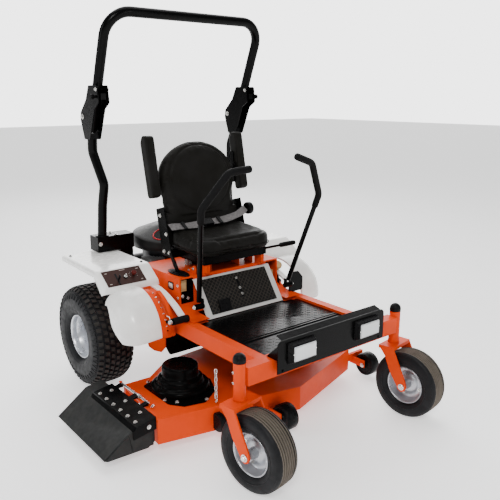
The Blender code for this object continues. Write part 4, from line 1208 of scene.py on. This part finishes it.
def height_control():
    """Quadrant with detents on the fender's inner arch, and the cutting-height lever."""
    dressed("height_quadrant", "orange", "chassis", 0.0008)
    pins = Shape()
    for step in range(7):
        a = math.radians(14 + step * 9)
        at = Vector((-0.4285, ARCH.x - 0.1985 * math.cos(a), ARCH.y + 0.1985 * math.sin(a)))
        pins.box_at(at, (0.008, 0.006, 0.006), Matrix.Rotation(-a, 3, "X"))
    piece("height_detents", pins, "zinc", bevel=0.0008)
    bands = Shape()
    for inner, outer, last in ((0.3815, 0.4015, 72), (0.4275, 0.4605, 82)):
        rows = []
        for step in range(31):
            a = math.radians(-2 + (last + 2) * step / 30)
            out = Vector((-math.cos(a), math.sin(a)))
            corners = ((inner, 0.183), (inner, 0.1985), (outer, 0.1985), (outer, 0.183))
            rows.append([Vector((-x, ARCH.x + out.x * r, ARCH.y + out.y * r)) for x, r in corners])
        bands.loft(rows, closed=True)
        bands.add(rows[0], [[0, 1, 2, 3]]).add(rows[-1], [[3, 2, 1, 0]])
    piece("height_quadrant_bands", bands, "orange", bevel=0.001, angle=30)
    dressed("height_lever", "black_satin", "height_lever", 0.0012)
    tip = height_grip_centre()
    grip = Shape()
    grip.lathe([(0.0135, -0.4385), (0.0167, -0.434), (0.0172, -0.428), (0.0172, -0.362),
                (0.0167, -0.355), (0.0135, -0.3505)], (0, tip.x, tip.y), ACROSS, 36)
    for step in range(8):
        x = -0.425 + step * 0.0082
        grip.lathe([(0.017, x), (0.0175, x + 0.001), (0.0175, x + 0.003), (0.017, x + 0.004)],
                   (0, tip.x, tip.y), ACROSS, 36)
    piece("height_grip", grip, "foam", "height_lever", angle=40)
    clip = Shape()
    clip.disc(0.0105, -0.456, -0.441, (0, tip.x, tip.y), ACROSS, 20)
    clip.tube(fillet([(-0.446, tip.x, tip.y), (-0.446, tip.x + 0.012, tip.y + 0.022),
                      (-0.452, tip.x + 0.032, tip.y + 0.026), (-0.43, tip.x + 0.04, tip.y + 0.01)],
                     0.008), 0.0022, 10)
    piece("height_lever_clip", clip, "zinc", "height_lever", angle=40)


def height_grip_centre():
    angle, radius = math.radians(19.3), 0.279
    return Vector((ARCH.x - radius * math.cos(angle), ARCH.y + radius * math.sin(angle)))


# Extra height of each grip's bend and of its tip.
LAP_GRIP_RISE = {"right": (-0.006, -0.022), "left": (0.004, 0.018)}


def lap_bars():
    """Lower tube, foam grip and pivot base of each lap bar."""
    for key, side in SIDES.items():
        base = joint_local(f"lap_bar_drive_{key}")
        bend, tip = LAP_GRIP_RISE[key]
        points = [Vector((side * 0.289, 0.566, 0.575)), Vector((side * 0.363, 0.425, 1.047)),
                  Vector((side * 0.252, 0.367, 1.214 + bend)),
                  Vector((side * 0.136, 0.357, 1.24 + tip))]
        run = (points[1] - points[0]).normalized()
        split = points[1] - run * 0.065
        bar = Shape().tube([points[0], split], 0.0126, 24)
        piece(f"lap_bar_tube_{key}", bar, "black", f"lap_bar_{key}", f"lap_bar_{key}", angle=40)
        foam = fillet([split, *points[1:]], 0.055, 10)
        end_run = (points[3] - points[2]).normalized()
        path = [split - run * 0.004, split, *foam[1:-1], points[3] - end_run * 0.01,
                points[3] - end_run * 0.004, points[3]]
        radii = [0.014, 0.0168] + [0.0172] * (len(foam) - 2) + [0.0172, 0.0155, 0.01]
        grip = Shape().tube(path, radii, 28)
        piece(f"lap_grip_foam_{key}", grip, "foam", f"lap_bar_{key}", f"lap_grip_{key}", angle=60)
        mount = Shape()
        mount.disc(0.0142, -0.027, 0.027, base, ACROSS, 32)
        inner = side * 0.2695
        mount.box_at((inner, base.y, base.z + 0.018), (0.006, 0.022, 0.037))
        piece(f"lap_base_skin_{key}", mount, "black_satin", f"lap_base_{key}",
              f"lap_bar_base_{key}", bevel=0.001)
        head = ((side * 0.3161, base.y, base.z), (side, 0, 0), 0.0075)
        bolt_set(f"lap_base_bolt_{key}", [head], f"lap_base_{key}")


def park_brake():
    """Straight lever with a foam grip, on a bracket beside the seat box."""
    root, tip = Vector((0.262, 0.8, 0.7)), Vector((0.262, 0.49, 0.8))
    run = (tip - root).normalized()
    shape = Shape().tube([root, tip - run * 0.11], 0.007, 18)
    shape.disc(0.014, -0.01, 0.01, root, ACROSS, 28)
    piece("park_brake_rod", shape, "black", "park_brake_lever", "park_brake_lever", angle=40)
    start = tip - run * 0.118
    grip_path = [start, start + run * 0.004, start + run * 0.1, tip - run * 0.004, tip]
    grip = Shape().tube(grip_path, [0.0095, 0.0125, 0.0125, 0.0105, 0.006], 24)
    piece("park_brake_grip", grip, "foam", "park_brake_lever", angle=60)
    bracket = Shape()
    bracket.prism(fillet_flat([(0.77, 0.664), (0.84, 0.664), (0.822, 0.722), (0.788, 0.722)],
                              0.008), X, 0.2735, 0.2775)
    piece("park_brake_bracket", bracket, "black_satin", bevel=0.0008)


# ---------------------------------------------------------------- roll bar


ROPS_X, ROPS_TUBE_R, ROPS_FOOT_TOP = 0.466, 0.025, 0.783


def roll_bar():
    """Hoop with its two lugs on each side, and the lower posts."""
    foot_y, foot_z, top_y, top_z = 1.2535, 1.362, 1.022, 1.925
    hoop_line = [(-ROPS_X, foot_y, foot_z), (-ROPS_X, top_y, top_z), (ROPS_X, top_y, top_z),
                 (ROPS_X, foot_y, foot_z)]
    shape = Shape().tube(fillet(hoop_line, 0.125, 14), ROPS_TUBE_R, 32)
    pivot = joint_local("rops_fold")
    for side in SIDES.values():
        low, high = span(side, 0.452, 0.48)
        lug = [(1.235, 1.405), (pivot.y, 1.412), (1.309, pivot.z), (pivot.y, 1.448), (1.225, 1.455)]
        front = [(1.185, 1.515), (1.105, 1.515), (1.105, 1.545), (1.175, 1.545)]
        shape.prism(lug, X, low, high)
        shape.prism(front, X, low, high)
    piece("roll_bar_hoop", shape, "black", "rops_hoop", "rops_hoop", angle=40)
    for key, side in SIDES.items():
        roll_bar_post(key, side, pivot)


def roll_bar_post(key, side, pivot):
    """Bent lower post on its foot block, with the two hinge plates and the lock pin."""
    path = [(side * 0.415, 1.32, 0.765), (side * 0.42, 1.281, 0.962), (side * 0.42, 1.246, 1.076),
            (side * 0.455, 1.29, 1.25), (side * ROPS_X, 1.256, 1.345)]
    shape = Shape().tube(fillet(path, 0.07, 8), ROPS_TUBE_R, 32)
    low, high = span(side, 0.236, 0.455)
    shape.block((low, 1.29, 0.7), (high, 1.39, ROPS_FOOT_TOP))
    low, high = span(side, 0.238, 0.318)
    shape.block((low, 1.3, 0.4843), (high, 1.38, 0.702))
    shape.block((side * ROPS_X - 0.028, 1.228, 1.316), (side * ROPS_X + 0.028, 1.283, 1.348))
    ear = [(1.222, 1.315), (1.285, 1.315), (1.32, 1.412), (1.314, 1.452), (1.245, 1.515),
           (1.208, 1.585), (1.112, 1.585), (1.1, 1.5), (1.15, 1.47)]
    for offset in (-1, 1):
        low, high = sorted(side * ROPS_X + offset * reach for reach in (0.0258, 0.0308))
        shape.prism(fillet_flat(ear, 0.012, 4), X, low, high)
    shape.disc(0.036, 0.0, 0.006, (side * 0.415, 1.32, ROPS_FOOT_TOP + 0.0002), UP, 40)
    piece(f"roll_bar_post_{key}", shape, "black", "chassis", f"rops_post_{key}", bevel=0.0012,
          angle=34)
    heads = []
    for flip in (-1, 1):
        x = side * ROPS_X + flip * 0.031
        heads += [((x, pivot.y, pivot.z), (flip, 0, 0), 0.0095),
                  ((x, 1.122, 1.565), (flip, 0, 0), 0.007)]
    heads += [((side * 0.34, y, ROPS_FOOT_TOP + 0.0002), UP, 0.008) for y in (1.305, 1.375)]
    heads.append(((side * 0.44, 1.2898, 0.745), FORWARD, 0.008))
    bolt_set(f"roll_bar_bolts_{key}", heads)
    pin = Vector((side * ROPS_X, 1.122, 1.53))
    knob = Shape()
    knob.lathe([(0, 0.0262), (0.0064, 0.0262), (0.0064, 0.043), (0.01, 0.044), (0.013, 0.047),
                (0.013, 0.056), (0.0105, 0.0597), (0, 0.0598)], pin, (side, 0, 0), 32, loop=False)
    piece(f"rops_pin_skin_{key}", knob, "black_satin", f"rops_pin_{key}", f"rops_pin_{key}",
          angle=40)


# ---------------------------------------------------------------- engine


ENGINE_X, ENGINE_Y, COVER_R = 0.0, 1.31, 0.207
MUFFLER_AT = (0, 1.515, 0.55)


def window_point(angle, reach, lift):
    """A point on the cover's oval window: share of its reach, height over the slope."""
    dx, dy = -0.075 + 0.07 * reach * math.cos(angle), -0.09 + 0.052 * reach * math.sin(angle)
    return Vector((ENGINE_X + dx, ENGINE_Y + dy, cover_height(dx, dy) + lift))


def engine():
    """Block with two finned cylinders, blower cover, muffler and the transaxle fans."""
    shape = Shape()
    shape.lathe([(0, 0.4843), (0.12, 0.4843), (0.132, 0.492), (0.134, 0.56), (0.152, 0.6),
                 (0.154, 0.676), (0, 0.676)], (ENGINE_X, ENGINE_Y, 0), UP, 48, loop=False)
    for side in SIDES.values():
        low, high = span(side, 0.05, 0.1)
        shape.block((low, 1.17, 0.505), (high, 1.3, 0.645))
        for step in range(9):
            x = 0.106 + step * 0.0105
            low, high = span(side, x, x + 0.004)
            shape.block((low, 1.176, 0.512), (high, 1.289, 0.64), 1)
        low, high = span(side, 0.1, 0.196)
        shape.block((low, 1.188, 0.524), (high, 1.277, 0.628))
        shape.box_at((side * 0.2, 1.232, 0.577), (0.01, 0.092, 0.104), None, 1)
    piece("engine_body", shape, ["engine", "cast"], "chassis", "engine_block", bevel=0.0015,
          angle=34)
    cover = Shape()
    cover_rows(cover)
    piece("engine_cover", cover, "cover", "chassis", "blower_cover", solid=0.003, bevel=0.0012,
          angle=26)
    ring = Shape().tube([window_point(math.radians(60 + 7.5 * step), 1, 0.0008)
                         for step in range(33)], 0.0038, 10)
    piece("engine_cover_ring", ring, "red", angle=50)
    levels = ((0.05, 0.0012), (0.5, 0.0012), (0.92, 0.0012), (0.96, -0.002))
    rows = [[window_point(a, reach, lift) for a in circle(40)] for reach, lift in levels]
    window = Shape().loft(rows, closed=True)
    window.add(rows[0], [list(range(40))])
    piece("engine_cover_window", window, "black_satin", solid=0.001, angle=30)
    muffler = Shape()
    muffler.disc(0.0445, -0.15, 0.15, MUFFLER_AT, ACROSS, 48, 0, 0.008)
    for x in (-0.1, 0.0, 0.1):
        muffler.lathe([(0.0442, x - 0.004), (0.045, x - 0.002), (0.045, x + 0.002),
                       (0.0442, x + 0.004)], MUFFLER_AT, ACROSS, 48)
    muffler.tube([(0.1, 1.515, 0.52), (0.1, 1.515, 0.451)], 0.0158, 24)
    piece("muffler_skin", muffler, "engine", "chassis", "muffler", angle=40)
    for key, side in SIDES.items():
        dressed(f"transaxle_{key}", "engine", "chassis", 0.004, 3)
        fan = Shape()
        for angle in circle(8):
            turn = Matrix.Rotation(angle, 3, "Z")
            at = Vector((side * 0.262, 1.115, 0.4035)) + turn @ Vector((0.028, 0, 0))
            fan.box_at(at, (0.042, 0.014, 0.0015), turn @ Matrix.Rotation(0.5, 3, "X"))
        piece(f"transaxle_fan_{key}", fan, "plastic")


def cover_height(dx, dy):
    """Top of the blower cover: a small flat crown at the rear and straight slopes to the rim."""
    radius = math.hypot(dx, dy - 0.045)
    fall = max(0.0, radius - 0.06)
    return 0.8035 - 0.36 * fall - 0.04 * max(0.0, -dy)


def cover_rows(shape):
    """Rounded-wedge cover: superellipse outline, sloped top, upright skirt."""
    segments, power, skirt_z = 56, 2.35, 0.68
    outline = []
    for a in circle(segments):
        c, s = math.cos(a), math.sin(a)
        limit = min(COVER_R / (abs(c) ** power + abs(s) ** power) ** (1 / power), COVER_R + 0.0015)
        outline.append(Vector((limit * c, limit * s)))
    rows = []
    for reach in (0.02, 0.25, 0.5, 0.72, 0.88, 0.96):
        rows.append([Vector((ENGINE_X + p.x, ENGINE_Y + p.y, cover_height(*p)))
                     for p in [q * reach for q in outline]])
    for spread, drop in ((0.995, 0.0), (1.0, 0.5), (0.97, 1.0)):
        row = []
        for p in [q * spread for q in outline]:
            top = cover_height(p.x * 0.98, p.y * 0.98) - 0.004
            row.append(Vector((ENGINE_X + p.x, ENGINE_Y + p.y, top + (skirt_z - top) * drop)))
        rows.append(row)
    shape.loft(rows, closed=True)
    shape.add(rows[0], [list(range(segments))])


# ---------------------------------------------------------------- deck


SPINDLES = {"right": (-0.42, 0.545), "left": (0.33, 0.545)}


def deck():
    """Shell, spindle covers with their bolt flanges, blades, anti-scalp wheels and deflector."""
    dressed("deck_shell", "orange", "deck", 0.0025, 3)
    places = ((-0.52, 0.68), (-0.553, 0.47), (-0.52, 0.418), (-0.398, 0.356), (-0.3, 0.7),
              (0.43, 0.68), (0.48, 0.47), (0.43, 0.4), (0.21, 0.7))
    bolt_set("belt_cover_bolts", [((x, y, 0.1795), UP, 0.0075) for x, y in places], "deck",
             bevel=0.0004)
    for key, (x, y) in SPINDLES.items():
        shape = Shape()
        flange = [(x - 0.14, y - 0.115), (x - 0.095, y - 0.179), (x + 0.005, y - 0.205),
                  (x + 0.11, y - 0.135), (x + 0.16, y - 0.02), (x + 0.11, y + 0.135),
                  (x - 0.02, y + 0.16), (x - 0.14, y + 0.115)]
        if key == "left":
            flange = [(2 * x - u, v) for u, v in reversed(flange)]
        shape.prism(fillet_flat(flange, 0.02), Z, 0.1753, 0.1793)
        line = smooth_curve([(0.1415, 0.179), (0.14, 0.196), (0.133, 0.205), (0.116, 0.211),
                             (0.111, 0.217), (0.109, 0.23), (0.104, 0.237), (0.092, 0.243),
                             (0.0875, 0.252), (0.0865, 0.286), (0.082, 0.296), (0.065, 0.3005),
                             (0, 0.3015)], 4)
        shape.lathe([(p.x, p.y) for p in line], (x, y, 0), UP, 72, loop=False)
        piece(f"belt_cover_skin_{key}", shape, "black_satin", "deck", f"belt_cover_{key}",
              bevel=0.0008, angle=40)
    for key in ("right", "centre", "left"):
        dressed(f"blade_spindle_{key}", "steel", f"blade_{key}", 0.0008)
    hub = Shape()
    hub.lathe([(0.06, 0.1752), (0.06, 0.183), (0.05, 0.19), (0.03, 0.196), (0.0, 0.198)],
              (-0.045, 0.42, 0), UP, 48, loop=False)
    piece("centre_spindle_housing", hub, "black_satin", "deck", angle=40)
    for key in ("front", "left"):
        anti_scalp(key)
    roller = Shape()
    outline = [(0.0, -0.016), (0.04, -0.016), (0.045, -0.01), (0.045, 0.01), (0.04, 0.016),
               (0.0, 0.016)]
    roller.lathe(outline, (-0.398, 0.262, 0.105), ACROSS, 40, loop=False)
    piece("skirt_roller", roller, "plastic", "deck", angle=35)
    deflector()


def anti_scalp(key):
    """Wide plastic wheel with rounded shoulders and a recessed web."""
    centre = joint_local(f"anti_scalp_spin_{key}")
    r, h = 0.0632, 0.0322
    profile = [(0.007, -h), (0.02, -h), (0.024, -h + 0.006), (r - 0.016, -h + 0.006),
               (r - 0.012, -h), (r - 0.004, -h + 0.002), (r, -h + 0.009), (r, h - 0.009),
               (r - 0.004, h - 0.002), (r - 0.012, h), (r - 0.016, h - 0.006), (0.024, h - 0.006),
               (0.02, h), (0.007, h)]
    shape = Shape().lathe(profile, centre, ACROSS, 56)
    piece(f"anti_scalp_skin_{key}", shape, "plastic", f"anti_scalp_wheel_{key}",
          f"anti_scalp_wheel_{key}", angle=35)
    ends = (-1, 1) if key == "front" else (-1,)
    bolt_set(f"anti_scalp_nuts_{key}", [(centre + Vector((flip * 0.0435, 0, 0)), (flip, 0, 0),
                                         0.0085) for flip in ends], "deck")


def deflector_bracket(hinge):
    """Folded plate that clamps the flap, with hinge knuckles, a side wall and bolts."""
    x = hinge.x
    shape = Shape()
    knuckle = [(x - 0.008, 0.1915), (x - 0.008, 0.178), (x - 0.046, 0.1778), (x - 0.046, 0.1815)]
    for low, high in ((0.472, 0.5), (0.565, 0.6), (0.71, 0.739)):
        shape.prism(knuckle, Y, low, high)
    plate = [(x - 0.036, 0.1785), (x - 0.132, 0.1625), (x - 0.138, 0.164), (x - 0.136, 0.1672),
             (x - 0.036, 0.1838)]
    shape.prism(plate, Y, 0.356, 0.772)
    lip = [(x - 0.13, 0.165), (x - 0.146, 0.145), (x - 0.15, 0.1475), (x - 0.137, 0.1665)]
    shape.prism(lip, Y, 0.356, 0.772)
    end = [(x - 0.038, 0.183), (x - 0.038, 0.128), (x - 0.15, 0.112), (x - 0.15, 0.1475),
           (x - 0.136, 0.1665)]
    shape.prism(end, Y, 0.352, 0.357)
    wall = Shape()
    wall.prism([(x - 0.042, 0.165), (x - 0.042, 0.065), (x - 0.075, 0.043), (x - 0.266, 0.05),
                (x - 0.276, 0.0545), (x - 0.136, 0.1585)], Y, 0.364, 0.3722)
    piece("deflector_side_wall", wall, "chute", "deflector", bevel=0.0008)
    piece("deflector_bracket_skin", shape, "black", "deflector", "deflector_bracket", bevel=0.001)
    normal = (-0.165, 0, 0.986)
    heads = []
    for step in range(6):
        y = 0.392 + step * 0.068
        heads.append(((x - 0.118, y, 0.1704), normal, 0.0062))
        if step % 2:
            heads.append(((x - 0.068, y - 0.02, 0.1787), normal, 0.0062))
    bolt_set("deflector_bolts", [*heads, ((x - 0.075, 0.352, 0.15), FORWARD, 0.007)], "deflector")


def deflector():
    dressed("deflector", "chute", "deflector", 0.002)
    hinge = joint_local("deflector_lift")
    deflector_bracket(hinge)
    rod = Shape()
    rod.disc(0.0056, 0.444, 0.764, (hinge.x, 0, hinge.z), BACK, 24)
    rod.bolt((hinge.x, 0.4435, hinge.z), FORWARD, 0.0085)
    piece("deflector_rod", rod, "chrome", "deck", bevel=0.0003)
    spring = Shape().tube(coil((hinge.x, 0.56, hinge.z), 0.0085, 0.0192, 6, 14, Y), 0.0013, 8)
    piece("deflector_spring", spring, "zinc", "deck", angle=60)


# ---------------------------------------------------------------- seat


def seat():
    """Pan, soft cushion and back, shell, lap belt and armrests."""
    dressed("seat_pan", "black_satin", "seat", 0.0015)
    cushion()
    backrest()
    seat_shell()
    belt()
    for key, side in SIDES.items():
        armrest(key, side)


def smooth_solid(name, shape, voxel=0.006, relax=6):
    """Voxel-remeshed, relaxed copy of a shape, as a plain mesh in the CAD frame."""
    item = bpy.data.objects.new(name, mesh_from(shape, name))
    bpy.context.scene.collection.objects.link(item)
    item.data.transform(Matrix.Translation(ORIGIN))
    remesh = item.modifiers.new("remesh", "REMESH")
    remesh.mode = "VOXEL"
    remesh.voxel_size = voxel
    relaxer = item.modifiers.new("relax", "SMOOTH")
    relaxer.iterations = relax
    relaxer.factor = 0.5
    bake_modifiers(item)
    return item


def bake_modifiers(item):
    """Replaces the mesh with what its modifiers make of it."""
    graph = bpy.context.evaluated_depsgraph_get()
    mesh = bpy.data.meshes.new_from_object(item.evaluated_get(graph))
    item.modifiers.clear()
    item.data = mesh


def inflate(item, pressure, cap, frames=14):
    """Cloth pressure swells the cover; no point moves further than cap."""
    before = [v.co.copy() for v in item.data.vertices]
    cloth = item.modifiers.new("swell", "CLOTH")
    cloth.settings.quality = 5
    cloth.settings.use_pressure = True
    cloth.settings.uniform_pressure_force = pressure
    cloth.settings.effector_weights.gravity = 0
    cloth.point_cache.frame_start = 1
    cloth.point_cache.frame_end = frames
    scene = bpy.context.scene
    for step in range(1, frames + 1):
        scene.frame_set(step)
    bake_modifiers(item)
    scene.frame_set(1)
    for vertex, start in zip(item.data.vertices, before):
        move = vertex.co - start
        if move.length > cap:
            vertex.co = start + move.normalized() * cap


def groove(item, depth_at):
    """Moves each vertex along its normal by depth_at(point in the machine frame, normal)."""
    normals = [v.normal.copy() for v in item.data.vertices]
    for vertex, normal in zip(item.data.vertices, normals):
        vertex.co += normal * depth_at(vertex.co - ORIGIN, normal)


def soft_finish(item, look, body, node):
    """Smoothing and material of a soft piece, which rides its body in place of the CAD node."""
    smooth = item.modifiers.new("smooth", "SUBSURF")
    smooth.levels = smooth.render_levels = 1
    item.data.shade_smooth()
    attach(item, look, body, node)


def cushion():
    """Seat cushion: swollen by cloth pressure, with a sewn seam, a dish and piping."""
    outline = fillet_flat([(-0.238, 0.613), (0.238, 0.613), (0.23, 0.948), (-0.23, 0.948)], 0.09, 8)
    shape = Shape()
    rows = []
    middle = Vector((0.0, 0.775))
    for z, shrink in ((0.76, 0.012), (0.766, 0.003), (0.8, 0.0), (0.828, 0.003), (0.84, 0.016)):
        row = []
        for x, y in outline:
            offset = Vector((x, y)) - middle
            at = middle + offset * ((offset.length - shrink) / offset.length)
            rise = 0.018 * max(0.0, (y - 0.66) / 0.28) if z > 0.81 else 0.0
            row.append(Vector((at.x, at.y, z + rise)))
        rows.append(row)
    shape.loft(rows, closed=True)
    count = len(outline)
    shape.add(rows[0], [list(range(count))[::-1]])
    shape.add(rows[-1], [list(range(count))])
    item = smooth_solid("seat_cushion_cover", shape)
    inflate(item, 3.0, 0.01)

    def seams(point, normal):
        if normal.z < 0.3:
            return 0.0
        inset = rounded_distance(point.x, point.y - 0.78, 0.214, 0.146, 0.085)
        crease = -0.0042 * math.exp(-(inset / 0.0045) ** 2)
        across, fore = 1 - (point.x / 0.18) ** 2, 1 - ((point.y - 0.8) / 0.14) ** 2
        return crease - 0.009 * max(0.0, across) * max(0.0, fore)

    groove(item, seams)
    flatten_below(item, 0.7592)
    soft_finish(item, "vinyl", "seat", "seat_cushion")
    path = [Vector((x * 1.006, middle.y + (y - middle.y) * 1.006, 0.784)) for x, y in outline]
    piping = Shape().tube(path + [path[0]], 0.003, 10, caps=False)
    piece("seat_cushion_piping", piping, "vinyl", "seat", angle=60)


def flatten_below(item, height):
    """Flat underside, so that the piece rests on what carries it."""
    for vertex in item.data.vertices:
        if vertex.co.z < height:
            vertex.co.z = height


def rounded_distance(x, y, half_x, half_y, radius):
    """Signed distance from a rounded rectangle's outline."""
    qx, qy = abs(x) - half_x + radius, abs(y) - half_y + radius
    return math.hypot(max(qx, 0.0), max(qy, 0.0)) + min(max(qx, qy), 0.0) - radius


BACK_FOOT, BACK_HEAD = Vector((0.926, 0.884)), Vector((0.98, 1.312))


def back_point(u, v, w):
    """u across, v up the backrest, w towards the back of it."""
    run = (BACK_HEAD - BACK_FOOT).normalized()
    normal = Vector((run.y, -run.x))
    at = BACK_FOOT + run * v + normal * w
    return Vector((u, at.x, at.y))


def corner_points(u, v, radius, side):
    """Rounded lower corner of the backrest, in the order of its outline."""
    sweep = range(6) if side < 0 else range(5, -1, -1)
    return [(u - side * radius + side * radius * math.cos(math.radians(18 * k)),
             v + radius - radius * math.sin(math.radians(18 * k))) for k in sweep]


def backrest():
    """Seat back: arched top, rounded lower corners and an oval seam."""
    height = (BACK_HEAD - BACK_FOOT).length
    arch = [(0.237 * math.cos(a), 0.232 + (height - 0.24) * math.sin(a))
            for a in [math.pi * i / 24 for i in range(25)]]
    outline = [*arch, *corner_points(-0.218, 0.004, 0.06, -1),
               *corner_points(0.218, 0.004, 0.06, 1)]
    middle = Vector((0.0, height * 0.48))
    rows = []
    for w, shrink in ((0.004, 0.02), (0.012, 0.006), (0.035, 0.0), (0.062, 0.003), (0.076, 0.02)):
        row = []
        for u, v in outline:
            offset = Vector((u, v)) - middle
            at = middle + offset * ((offset.length - shrink) / offset.length)
            row.append(back_point(at.x, at.y, w))
        rows.append(row)
    shape = Shape().loft(rows, closed=True)
    count = len(outline)
    shape.add(rows[0], [list(range(count))])
    shape.add(rows[-1], [list(range(count))[::-1]])
    item = smooth_solid("seat_back_cover", shape)
    inflate(item, 3.0, 0.01)
    run = (BACK_HEAD - BACK_FOOT).normalized()
    front = Vector((-run.y, run.x))

    def seams(point, normal):
        if Vector((normal.y, normal.z)).dot(front) < 0.3:
            return 0.0
        v = (Vector((point.y, point.z)) - BACK_FOOT).dot(run)
        inset = (math.hypot(point.x / 0.192, (v - 0.226) / 0.178) - 1) * 0.185
        crease = -0.0055 * math.exp(-(inset / 0.0045) ** 2)
        pad = 0.006 * max(0.0, min(1.0, -inset / 0.05))
        return crease + pad

    groove(item, seams)
    soft_finish(item, "vinyl", "seat", "seat_back")


def belt():
    """Lap belt lying across the rear of the cushion, with a buckle and its retractor."""
    line = smooth_curve([(-0.246, 0.88, 0.88), (-0.215, 0.868, 0.883), (-0.14, 0.86, 0.88),
                         (-0.06, 0.866, 0.879), (0.01, 0.868, 0.882), (0.09, 0.858, 0.888),
                         (0.17, 0.86, 0.902), (0.215, 0.868, 0.916), (0.246, 0.88, 0.928)], 8)
    half, thick = 0.023, 0.0012
    rows = []
    for index, point in enumerate(line):
        sway = 0.1 * math.sin(index * 0.35)
        across = Vector((0.15 * math.sin(index * 0.2), 1, 0.62 + sway)).normalized()
        up = Vector((0, -across.z, across.y))
        rows.append([point - across * half - up * thick / 2, point + across * half - up * thick / 2,
                     point + across * half + up * thick / 2, point - across * half
                     + up * thick / 2])
    shape = Shape().loft(rows, closed=True)
    shape.add(rows[0], [[0, 1, 2, 3]]).add(rows[-1], [[3, 2, 1, 0]])
    strap = piece("lap_belt_webbing", shape, "web", "seat", "seat_belt", angle=30)
    buckle = Shape()
    tilt = Matrix.Rotation(0.55, 3, "X")
    buckle.box_at((-0.03, 0.858, 0.886), (0.07, 0.046, 0.016), tilt)
    buckle.box_at((0.052, 0.858, 0.888), (0.022, 0.054, 0.008), tilt)
    buckle.box_at((-0.175, 0.858, 0.885), (0.02, 0.054, 0.008), tilt)
    piece("lap_belt_buckle", buckle, "plastic", "seat", bevel=0.003)
    retractor = Shape()
    retractor.disc(0.034, 0.2515, 0.284, (0, 0.88, 0.925), ACROSS, 36)
    retractor.block((0.2515, 0.862, 0.895), (0.262, 0.898, 0.95))
    piece("lap_belt_retractor", retractor, "plastic", "seat", bevel=0.003)
    places = ((0.885, 0.745), (0.935, 0.745), (0.965, 0.93), (0.91, 0.84))
    bolt_set("seat_side_bolts", [((side * 0.2516, y, z), (side, 0, 0), 0.007)
                                 for side in SIDES.values() for y, z in places], "seat")


def seat_shell():
    """Moulded shell that joins the cushion's rear edge to the foot of the backrest."""
    shape = Shape()
    shape.prism(fillet_flat([(0.938, 0.76), (0.975, 0.76), (1.0, 0.9), (1.006, 0.96), (0.985, 0.96),
                             (0.962, 0.905), (0.94, 0.87)], 0.006), X, -0.232, 0.232)
    shape.prism(fillet_flat([(0.924, 0.876), (0.96, 0.87), (0.985, 0.94), (0.936, 0.94)], 0.006), X,
                -0.226, 0.226)
    piece("seat_shell", shape, "vinyl", "seat", bevel=0.003)


def armrest(key, side):
    """Padded armrest in its folded-up place, on a black casting."""
    pivot = joint_local(f"armrest_fold_{key}")
    outline = fillet_flat([(0.93, 1.036), (0.986, 1.016), (1.046, 1.3), (1.03, 1.34),
                           (0.988, 1.335)], 0.018, 5)
    low, high = span(side, 0.2575, 0.309)
    shape = Shape().prism(outline, X, low, high)
    item = smooth_solid(f"armrest_pad_{key}", shape, 0.005, 4)
    item.data.shade_smooth()
    attach(item, "vinyl", f"armrest_{key}", f"armrest_{key}")
    casting = Shape()
    casting.disc(0.014, 0.246, 0.258, (0, pivot.y, pivot.z), (side, 0, 0), 28)
    casting.disc(0.026, 0.25, 0.258, (0, pivot.y, pivot.z), (side, 0, 0), 32)
    low, high = span(side, 0.2515, 0.258)
    casting.prism(fillet_flat([(0.985, 1.06), (1.015, 1.06), (1.03, 1.23), (1.0, 1.235)], 0.01), X,
                  low, high)
    piece(f"armrest_casting_{key}", casting, "black_satin", f"armrest_{key}", bevel=0.001, angle=36)


# ---------------------------------------------------------------- small hardware


def lift_chain():
    """Short chain from the deck up towards the right rail."""
    chain = Shape()
    link_r, wire = 0.01, 0.0024
    top, low = 0.345, 0.182
    count = 8
    for step in range(count):
        z = top - (top - low) * (step + 0.5) / count
        turn = Matrix.Rotation(math.radians(90 * (step % 2)), 3, "Z")
        path = []
        for a in [math.tau * k / 16 for k in range(17)]:
            stretch = 0.005 if math.sin(a) > 0 else -0.005
            local = Vector((link_r * math.cos(a) * 0.62, 0, link_r * math.sin(a) * 0.62 + stretch))
            path.append(Vector((-0.386, 0.3, z)) + turn @ local)
        chain.tube(path, wire, 8, caps=False)
    piece("lift_chain_right", chain, "zinc", "deck", angle=60)


def main():
    add_camera()
    add_stage()
    for key, side in SIDES.items():
        rear_tyre(key, side)
        rear_rim(key, side)
        fender(key, side)
    casters()
    dressed("main_frame", "orange", "chassis", 0.002, 2)
    kingpin_tubes()
    floor_details()
    kick_plate()
    light_panel()
    console()
    controls()
    height_control()
    lap_bars()
    park_brake()
    drive_line()
    roll_bar()
    engine()
    deck()
    seat()
    lift_chain()


main()
